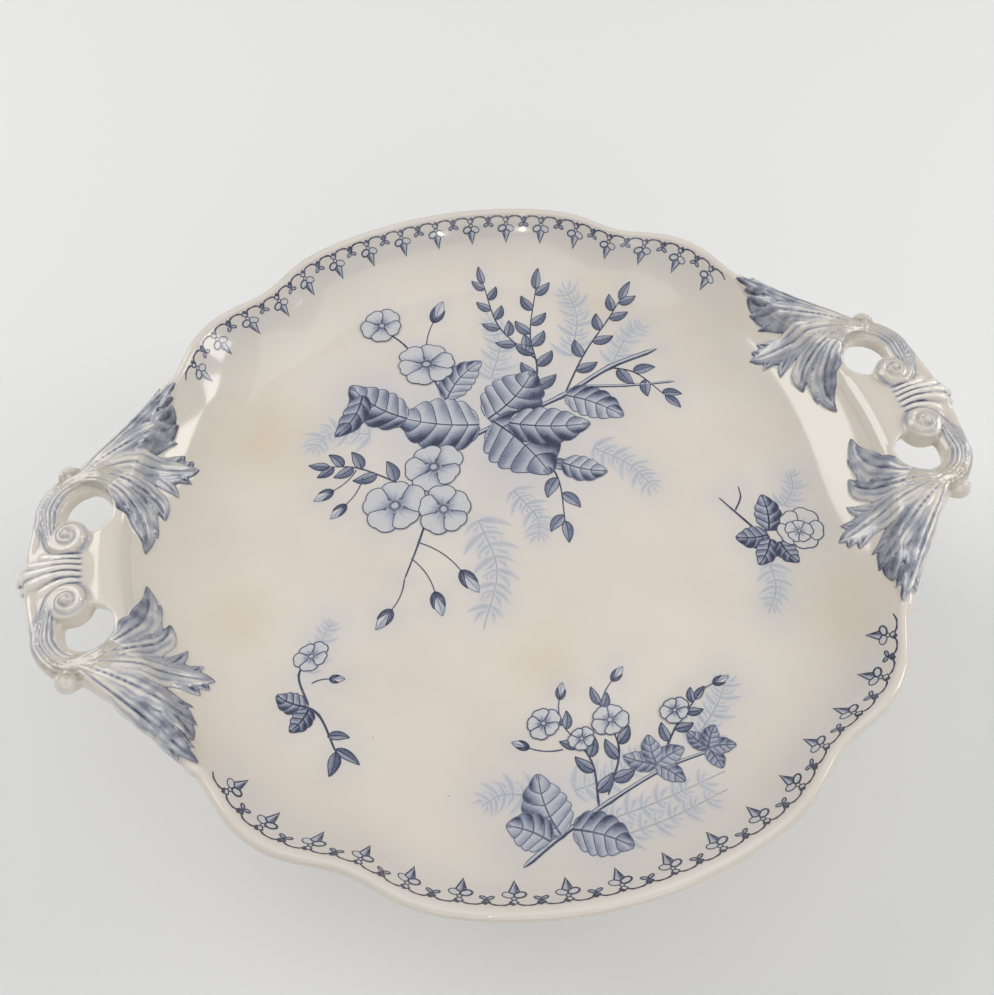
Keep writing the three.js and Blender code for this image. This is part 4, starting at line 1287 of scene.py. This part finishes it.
def blossom(sheet, centre, radius, turn, petals, squash, tilt, tones=(0.17, 0.55)):
    p = petal
    layer = nextLevel(sheet, p["thickness"])
    halfPetal = math.pi / petals

    def lay(local):
        return placed(local * np.array(squash) * radius, centre, tilt)

    u = np.linspace(-1, 1, p["columns"])
    r = np.linspace(p["start"], 1, p["rows"])[:, None]
    outline = 0.985 - 0.2 * np.abs(u) ** 3.2 - 0.05 * bell(u, 0.16)
    pinch = 0.45 + 0.55 * smoothStep(0.1, 0.62, r)
    shading = np.clip(0.8 - 1.5 * r + 0.7 * u[None] ** 2 + 0.3 * u[None] + 0.4 * r ** 6, 0, 1)
    for k in range(petals):
        middle = turn + 2 * halfPetal * k
        reach = 1.0 + 0.07 * math.sin(2.3 * k + 5 * turn)
        local = polar(r * (reach * outline)[None], middle + (u * halfPetal * p["overlap"])[None] * pinch)
        depth = layer + p["step"] * k
        addGrid(sheet, lay(local), tones[0] + (tones[1] - tones[0]) * shading, depth)
        rim = np.vstack([local[2:, 0], local[-1, 1:-1], local[:1:-1, -1]])
        addRibbon(sheet, lay(rim), p["edgeLine"], p["edgeTone"], depth + 0.2)
        for spoke, long in p["spokes"]:
            out = np.linspace(0.2, long, p["spokeSteps"])
            path = polar(out, middle + spoke * halfPetal * (0.45 + 0.5 * out))
            widths = np.linspace(*p["spokeLine"], len(out))
            addRibbon(sheet, lay(path), widths, p["spokeTone"], depth + 0.14)
    ring = np.linspace(0, 2 * math.pi, p["eyeSteps"])[None]
    for size, tone in p["eyes"]:
        disc = polar(size * np.array([[0.02], [1]]), ring)
        addGrid(sheet, lay(disc), tone, layer + 2.3 + 3 * (0.2 - size))
    haloSpots.append((*centre, radius * p["haloShare"]))


# Pale shadows of foliage behind a spray, soft leaves without outlines
ghost = {
    "rows": 9, "columns": 5, "tone": 0.34, "stem": (0.6, 0.3), "stemLayer": -0.3, "lowest": -2.6,
    "step": 0.24, "slim": 0.4, "halo": 7, "ways": [(0.85, 0.45), (0.5, 0.85)],  # forward and sideways
}


def ghostLeaf(sheet, start, end, width, bend, layer):
    line = curveBetween(start, end, bend, ghost["rows"])
    t, u = np.linspace(0, 1, ghost["rows"]), np.linspace(-1, 1, ghost["columns"])
    half = width / 2 * np.sin(math.pi * np.clip(t, 0.01, 0.99) ** 0.7) ** 0.9
    fade = (1.0 - 0.92 * np.abs(u)[None] ** 1.6) * (1 - 0.3 * t[:, None])
    addGrid(sheet, leafGrid(line, half, u), ghost["tone"] * fade, layer)


def ghostFern(sheet, keys, size, fronds=8):
    line = smoothLine(keys, 8)
    addRibbon(sheet, line, np.linspace(*ghost["stem"], len(line)), ghost["tone"], ghost["stemLayer"])
    ahead, sideways = directions(line)
    for k in range(fronds):
        i = int((0.05 + 0.93 * k / fronds) * (len(line) - 1))
        for sign in (-1, 1):
            long = size * (1 - 0.4 * k / fronds) * (1 + 0.25 * math.sin(3 * k + sign))
            for j, (forward, out) in enumerate(ghost["ways"]):
                end = line[i] + (ahead[i] * forward + sideways[i] * sign * out) * long
                layer = ghost["lowest"] + ghost["step"] * (k + 0.25 * (2 * j + (sign > 0)))
                ghostLeaf(sheet, line[i], end, long * ghost["slim"], 0.16 * sign, layer)
        haloSpots.append((*line[i], ghost["halo"]))


# Sprays: every row holds the values of the function that draws it
mainSpray = {
    "ferns": [
        ([(44, 70), (52, 90), (50, 108)], 10), ([(-12, 0), (-10, -22), (-20, -44)], 11),
        ([(40, 22), (52, 10), (58, -4)], 9), ([(8, 66), (16, 84), (14, 102)], 10),
        ([(-46, 50), (-62, 54), (-70, 46)], 9), ([(4, 10), (10, -4), (8, -14)], 8),
        ([(60, 62), (70, 74), (78, 78)], 8),
    ],
    "twigs": [
        ([(-34, 20), (-18, 34), (4, 42), (34, 50), (58, 60), (80, 64)], 1.5, 2.0),
        ([(44, 53), (62, 49), (82, 46)], 1.3, 0.9, 0.5), ([(-2, 42), (-12, 58), (-16, 74)], 0.9, 0.6),
        ([(-16, 74), (-24, 92), (-30, 100)], 0.7, 0.5), ([(-26, 16), (-36, -4), (-44, -18)], 0.8, 0.4),
    ],
    "leafyTwigs": [
        ([(20, 46), (28, 66), (30, 86), (38, 108)], 9, 11),
        ([(36, 51), (50, 70), (64, 84), (72, 92)], 7, 10),
        ([(30, 70), (18, 92), (16, 116)], 8, 9, 0.6), ([(58, 60), (68, 54), (76, 40)], 4, 10),
        ([(12, 36), (22, 14), (20, -8)], 5, 11, 1, (0.35, 0.75)),
        ([(-34, 20), (-52, 34), (-64, 38)], 6, 10),
    ],
    "broadLeaves": [
        ((-2, 44), (-34, 56), 26, 0.1, (0.08, 0.86)), ((2, 46), (26, 66), 24, -0.14, (0.12, 0.95)),
        ((4, 44), (20, 14), 29, 0.1, (0.18, 1.0)), ((10, 42), (42, 34), 18, -0.1, (0.12, 0.92)),
        ((36, 50), (56, 34), 15, 0.12, (0.1, 0.85)), ((-30, 54), (-50, 76), 18, 0.16, (0.14, 0.95)),
        ((-46, 70), (-60, 52), 10, 0.2, (0.25, 1.0), 4), ((-12, 60), (6, 76), 13, 0.18, (0.1, 0.8)),
        ((26, 18), (42, 10), 11, -0.12, (0.1, 0.8), 4),
    ],
    "blossoms": [
        ((-24, 28), 12, 0.3, 5, (1, 0.92), 0.2), ((-42, 14), 12.5, 0.9, 5, (1, 0.95), 0.5),
        ((-24, 8), 11, 0.1, 5, (0.95, 1), 0.1), ((-17, 80), 13, 1.3, 6, (1, 0.82), -0.2),
        ((-32, 104), 9, 0.5, 5, (1, 0.9), 0.3),
    ],
    "buds": [
        ((-16, 82), (-8, 104), 4.6), ((-44, -18), (-52, -30), 4), ((-40, -10), (-34, -28), 4),
        ((-36, -4), (-22, -22), 4.4), ((-54, 34), (-66, 26), 3.6), ((-52, 30), (-62, 18), 3.4),
    ],
}


# one leaf of a cluster round a centre
def clusterLeaf(centre, turn, reachX, reachY, width, tones):
    end = (centre[0] + reachX * math.cos(turn), centre[1] + reachY * math.sin(turn))
    return (centre, end, width, 0.08, tones, 4, 0.08, 0.8)


lowerSpray = {
    "ferns": [
        ([(38, -100), (50, -90), (58, -80)], 8), ([(0, -118), (20, -116), (44, -112)], 8),
        ([(-14, -106), (-26, -102), (-34, -104)], 8), ([(2, -124), (22, -122), (42, -118)], 7),
        ([(-4, -106), (10, -104), (22, -98)], 8),
    ],
    "twigs": [([(-26, -126), (-12, -119), (6, -112), (26, -106), (44, -104)], 1.5, 0.8)],
    "leafyTwigs": [
        ([(2, -113), (4, -98), (-2, -84)], 5, 8), ([(6, -110), (14, -96), (12, -80)], 5, 8),
        ([(24, -106), (34, -94), (44, -86)], 6, 7),
    ],
    "broadLeaves": [
        ((-12, -119), (-14, -98), 15, 0.14, (0.12, 0.7)), ((-8, -118), (8, -128), 14, 0.12, (0.16, 0.74)),
        ((-16, -120), (-28, -112), 12, -0.14, (0.14, 0.72), 4),
    ],
    "blossoms": [
        ((-8, -82), 6, 0.2, 5, (1, 0.86), 0.2), ((14, -86), 6.4, 0.8, 5, (1, 0.86), 0.2),
        ((3, -90), 4.6, 0.5, 5, (1, 0.86), 0.2), ((36, -88), 5.2, 0.4, 5, (1, 0.86), 0.2),
    ],
    "buds": [
        ((-2, -84), (0, -74), 2.6), ((12, -82), (20, -72), 2.6), ((44, -86), (53, -82), 2.6),
        ((-4, -92), (-16, -88), 2.4),
    ],
}
for turn in (-0.9, 2.6, 0.3, 1.5):
    lowerSpray["broadLeaves"].append(clusterLeaf((24, -104), turn, 11, 10, 6.5, (0.22, 0.74)))
    lowerSpray["broadLeaves"].append(clusterLeaf((42, -103), turn - 0.5, 9, 8, 5.5, (0.24, 0.76)))

leftSprig = {
    "ferns": [([(-82, -46), (-76, -34), (-72, -28)], 6, 7)],
    "twigs": [
        ([(-88, -56), (-81, -62), (-77, -76)], 0.8, 0.5), ([(-84, -58), (-86, -46), (-80, -40)], 0.7, 0.5),
    ],
    "broadLeaves": [
        ((-85, -58), (-94, -52), 7.5, 0.14, (0.2, 1.0), 4),
        ((-84, -59), (-91, -66), 7, 0.14, (0.25, 1.0), 4),
    ],
    "slimLeaves": [
        ((-79, -70), (-72, -72), 3, 0.14, 2), ((-77, -76), (-80, -84), 4, 0.1, 2, (0.5, 0.95)),
        ((-77, -75), (-70, -82), 3, 0.1, 2),
    ],
    "blossoms": [((-81, -40), 6.4, 0.4, 5, (1, 0.8), 0.3)],
    "buds": [((-82, -50), (-75, -50), 2.4)],
}

rightSprig = {
    "ferns": [([(88, -44), (86, -54), (80, -62)], 7, 7), ([(102, -22), (108, -16), (110, -8)], 6, 6)],
    "twigs": [
        ([(82, -34), (90, -30), (100, -32)], 1.0, 0.7), ([(88, -28), (83, -18), (80, -12)], 0.8, 0.4),
        ([(84, -19), (88, -14), (89, -9)], 0.6, 0.3),
    ],
    "broadLeaves": [
        ((92, -32), (80, -30), 9, 0.12, (0.3, 1.0), 4), ((93, -30), (96, -15), 9.5, -0.12, (0.2, 1.0), 4),
        ((92, -34), (84, -43), 7.5, 0.12, (0.2, 0.95), 4), ((95, -36), (98, -46), 7, -0.14, (0.2, 1.0), 4),
    ],
    "blossoms": [
        ((104, -33), 9.4, 0.5, 5, (0.86, 1), 0.3, (0.06, 0.24)),
        ((103, -34), 5.2, 1.0, 5, (0.9, 1), 0.2, (0.1, 0.3)),
    ],
}
drawing = {"ferns": ghostFern, "twigs": twig, "leafyTwigs": leafyTwig, "broadLeaves": broadLeaf,
           "slimLeaves": slimLeaf, "blossoms": blossom, "buds": budOnStem}


def laySpray(name, spray):
    sheet = newSheet(onGlaze)
    for kind, draw in drawing.items():
        for row in spray.get(kind, []):
            draw(sheet, *row)
    addSheet(name, sheet)


laySpray("mainSpray", mainSpray)
laySpray("lowerSpray", lowerSpray)
laySpray("leftSprig", leftSprig)
laySpray("rightSprig", rightSprig)

# Border: a vine below the rim with pendants, front and back; u runs along the rim and v down the wall
border = {
    "pitch": 16.0, "vineRadius": 140.4, "margin": math.radians(35), "knotLine": 1.3, "wave": 1.7,
    "above": 0.5, "outside": 0.35, "wallSteps": 240, "lowest": 100.0, "vineWidth": (0.5, 0.4), "line": 0.5,
    "fine": 0.42, "pendantKnot": 1.3, "budKnot": 1.15, "backInk": 0.88, "frontInk": 1.05,
    "wing": (1.75, 4.9, 1.85, 1.3, 0.35), "leaflet": (1.05, 3.3, 1.15, 0.6, 0.55),  # u, v, radii and tilt
    "drop": [(-1.6, 6.3), (-0.8, 5.6), (0.1, 5.5), (1.0, 5.7), (1.6, 6.4), (1.05, 8.2), (0.45, 9.8),
             (0, 11.2), (-0.3, 9.8), (-0.95, 8.1), (-1.6, 6.3)],
    "dropMiddle": 6.9, "shadeLines": [(0.15, 0.5), (0.55, 0.7), (0.95, 0.9)],  # u and tone
}


def borderPlace(startAngle):
    downWall = np.linspace(border["vineRadius"] + border["outside"], border["lowest"], border["wallSteps"])
    steps = np.hypot(np.diff(downWall), np.diff(wallHeight(downWall)))
    run = np.concatenate([[0], np.cumsum(steps)]) - border["above"]

    def place(u, v, lift):
        angle = startAngle + np.asarray(u, float) / border["vineRadius"]
        radius = np.interp(v, run, downWall)
        slope = wallSlope(radius)
        spread, height = dishWarp(radius, angle, wallHeight(radius))
        out = spread - lift * np.sin(slope)
        return np.stack([out * np.cos(angle), out * np.sin(angle), height + lift * np.cos(slope)], -1)

    return place


def filled(sheet, outline, centre, tone, layer):
    outline = np.asarray(outline, float)
    inner = np.array(centre) + (outline - centre) * 0.02
    addGrid(sheet, np.stack([inner, (inner + outline) / 2, outline]), tone, layer)


# an oval leaf on either side of u, filled and then outlined
def ovalLeaf(sheet, u, sign, shape, fill, line, layer):
    out, v, radiusU, radiusV, tilt = shape
    centre = (u + sign * out, v)
    ring = polar(1, np.linspace(0, 2 * math.pi, 17)) * (radiusU, radiusV)
    outline = placed(ring, centre, sign * tilt)
    filled(sheet, outline, centre, fill, layer)
    addRibbon(sheet, outline, *line, 1)


def knot(sheet, u, size, fill, line):
    v = border["knotLine"]
    diamond = np.array([(u - size, v), (u, v - size), (u + size, v), (u, v + size), (u - size, v)])
    filled(sheet, diamond, (u, v), fill, 0.6)
    addRibbon(sheet, diamond, 0.62, line, 1.2)
    addRibbon(sheet, [(u - size, v), (u - size * 0.5, v - size * 0.5), (u, v - size)], 1.25, line, 1.5)


# a pair of flat leaves on a knot with a pointed drop over them
def pendant(sheet, u, ink):
    knot(sheet, u, border["pendantKnot"], 0.2, 0.95 * ink)
    for sign in (-1, 1):
        stalk = [(u + sign * 0.5, 2.4), (u + sign * 0.75, 3.1), (u + sign * 0.5, 3.9)]
        addRibbon(sheet, stalk, border["fine"], 0.85 * ink, 1)
        line = (0.56 + 0.16 * sign, 0.9 * ink)
        ovalLeaf(sheet, u, sign, border["wing"], 0.17 * ink, line, 0.3 + 0.1 * sign)
    drop = np.array(border["drop"]) + (u, 0)
    filled(sheet, drop, (u, border["dropMiddle"]), 0.3 * ink, 0.4)
    addRibbon(sheet, drop, border["line"], 0.95 * ink, 1)
    for out, shade in border["shadeLines"]:
        stroke = [(u + out, 5.9), (u + out * 0.85, 7.6), (u + out * 0.4, 9.6)]
        addRibbon(sheet, stroke, [0.45, 0.4, 0.16], shade * ink, 0.9)


# a smaller knot with two leaflets
def bud(sheet, u, ink):
    knot(sheet, u, border["budKnot"], 0.75 * ink, ink)
    addRibbon(sheet, [(u, 2.2), (u, 2.8), (u, 3.5)], border["line"], 0.9 * ink, 1)
    for sign in (-1, 1):
        ovalLeaf(sheet, u, sign, border["leaflet"], 0.4 * ink, (border["line"], 0.9 * ink), 0.5)


def vine(sheet, start, end, ink):
    t = np.linspace(0, 1, 14)
    arch = np.sin(math.pi * t)
    path = np.stack([start + (end - start) * t, border["knotLine"] - border["wave"] * arch], 1)
    thin, swell = border["vineWidth"]
    addRibbon(sheet, path, thin + swell * arch ** 2, ink, 0.2)


def borderRun(name, startAngle, ink):
    sheet = newSheet(borderPlace(startAngle + border["margin"]))
    length = (math.pi - 2 * border["margin"]) * border["vineRadius"]
    units = round(length / border["pitch"])
    pitch = length / units
    for k in range(units):
        middle = (k + 0.5) * pitch
        pendant(sheet, middle, ink)
        vine(sheet, k * pitch, middle, ink)
        vine(sheet, middle, (k + 1) * pitch, ink)
        if k:
            bud(sheet, k * pitch, ink)
    addSheet(name, sheet)


borderRun("backBorder", 0.0, border["backInk"])
borderRun("frontBorder", math.pi, border["frontInk"])

# Blue that bled from the ink into the glaze
halo = {"spread": 1.25, "least": 0.34, "most": 0.75, "reach": (4, 16), "band": 0.26, "bandRadius": 136.5,
        "bandWidth": 6.0, "bandStart": (0.5, 0.75)}


def inkHalo(points):
    x, y, z = points.T
    amount = np.zeros(len(points))
    for spotX, spotY, reach in haloSpots:
        strength = halo["least"] + (halo["most"] - halo["least"]) * smoothStep(*halo["reach"], reach)
        amount = np.maximum(amount, strength * bell(np.hypot(x - spotX, y - spotY), reach * halo["spread"]))
    radius, _ = plainRadius(x, y)
    angle = np.mod(np.arctan2(y, x), math.pi)
    offHandle = smoothStep(*halo["bandStart"], np.minimum(angle, math.pi - angle))
    band = bell(radius - halo["bandRadius"], halo["bandWidth"]) * offHandle
    return np.maximum(amount, halo["band"] * band) * (z > floorHeight - 1)


for piece in [dishBody] + inkSheets:
    paint(piece, "halo", inkHalo(np.array([vertex.co for vertex in piece.data.vertices]) / mm))
print("print laid")

# Floor, light and camera
studio = {
    "floor": (0.78, 0.78, 0.77, 1), "floorRoughness": 0.85, "sky": (0.90, 0.94, 1.0, 1), "skyStrength": 0.4,
    "aim": (0, 0, 0.1), "day": (1.0, 0.98, 0.95), "sun": (1.0, 0.98, 0.94), "lamp": (1.0, 0.95, 0.86),
    "boxes": [  # name, place, size, power and colour
        ("windowLight", (-0.95, 0.85, 1.25), (0.95, 1.05), 12.5, "day"),
        ("sideWindowA", (1.32, 0.36, 0.95), (0.42, 0.62), 4.6, "sun"),
        ("sideWindowB", (1.36, -0.3, 0.95), (0.42, 0.62), 4.6, "sun"),
        ("topLight", (0.1, -0.3, 1.9), (1.6, 1.6), 6.2, "day"),
        ("frontFill", (-0.2, -1.7, 0.9), (1.8, 0.9), 6.0, "day"),
        ("bulbA", (-0.3, -0.95, 1.15), (0.03, 0.1), 0.22, "lamp"),
        ("bulbB", (0.12, -1.0, 1.1), (0.03, 0.1), 0.22, "lamp"),
    ],
}


def floorMaterial():
    material = bpy.data.materials.new("paleFloor")
    material.use_nodes = True
    shader = material.node_tree.nodes["Principled BSDF"]
    shader.inputs["Base Color"].default_value = studio["floor"]
    shader.inputs["Roughness"].default_value = studio["floorRoughness"]
    return material


bpy.ops.mesh.primitive_plane_add(size=8)
floor = bpy.context.object
floor.name = "studioFloor"
floor.data.materials.append(floorMaterial())

world = bpy.data.worlds.new("studioWorld")
bpy.context.scene.world = world
world.use_nodes = True
sky = world.node_tree.nodes["Background"]
sky.inputs["Color"].default_value = studio["sky"]
sky.inputs["Strength"].default_value = studio["skyStrength"]


def softbox(name, place, size, power, colour):
    light = bpy.data.lights.new(name, "AREA")
    light.shape = "RECTANGLE"
    light.size, light.size_y = size
    light.energy = power
    light.color = studio[colour]
    lamp = bpy.data.objects.new(name, light)
    bpy.context.collection.objects.link(lamp)
    lamp.location = place
    x, y, z = np.array(place) - np.array(studio["aim"])
    lamp.rotation_euler = (math.atan2(math.hypot(x, y), z), 0, math.atan2(y, x) + math.pi / 2)


for box in studio["boxes"]:
    softbox(*box)

# the place and the ways are in the part's own frame, the focal length is in pixels of the picture
view = {"place": (-39.93, -172.01, 396.03), "ahead": (0.1052, 0.5125, -0.8522),
        "right": (0.9737, -0.2273, -0.0165), "focal": 909.86, "pictureHeight": 995, "sensor": 36.0}
camera = bpy.data.cameras.new("photoCamera")
camera.sensor_fit = "VERTICAL"
camera.sensor_height = view["sensor"]
camera.sensor_width = view["sensor"]
camera.lens = view["focal"] * view["sensor"] / view["pictureHeight"]
camera.clip_start = 0.01
cameraObject = bpy.data.objects.new("photoCamera", camera)
bpy.context.collection.objects.link(cameraObject)
ahead, right = np.array(view["ahead"]), np.array(view["right"])
ahead = ahead / np.linalg.norm(ahead)
right = right - ahead * np.dot(right, ahead)
right = right / np.linalg.norm(right)
matrix = np.eye(4)
matrix[:3] = np.stack([right, np.cross(right, ahead), -ahead, np.array(view["place"]) * mm], 1)
cameraObject.matrix_world = Matrix(matrix.tolist())
bpy.context.scene.camera = cameraObject
bpy.context.scene.view_settings.view_transform = "Standard"
print("camera set")
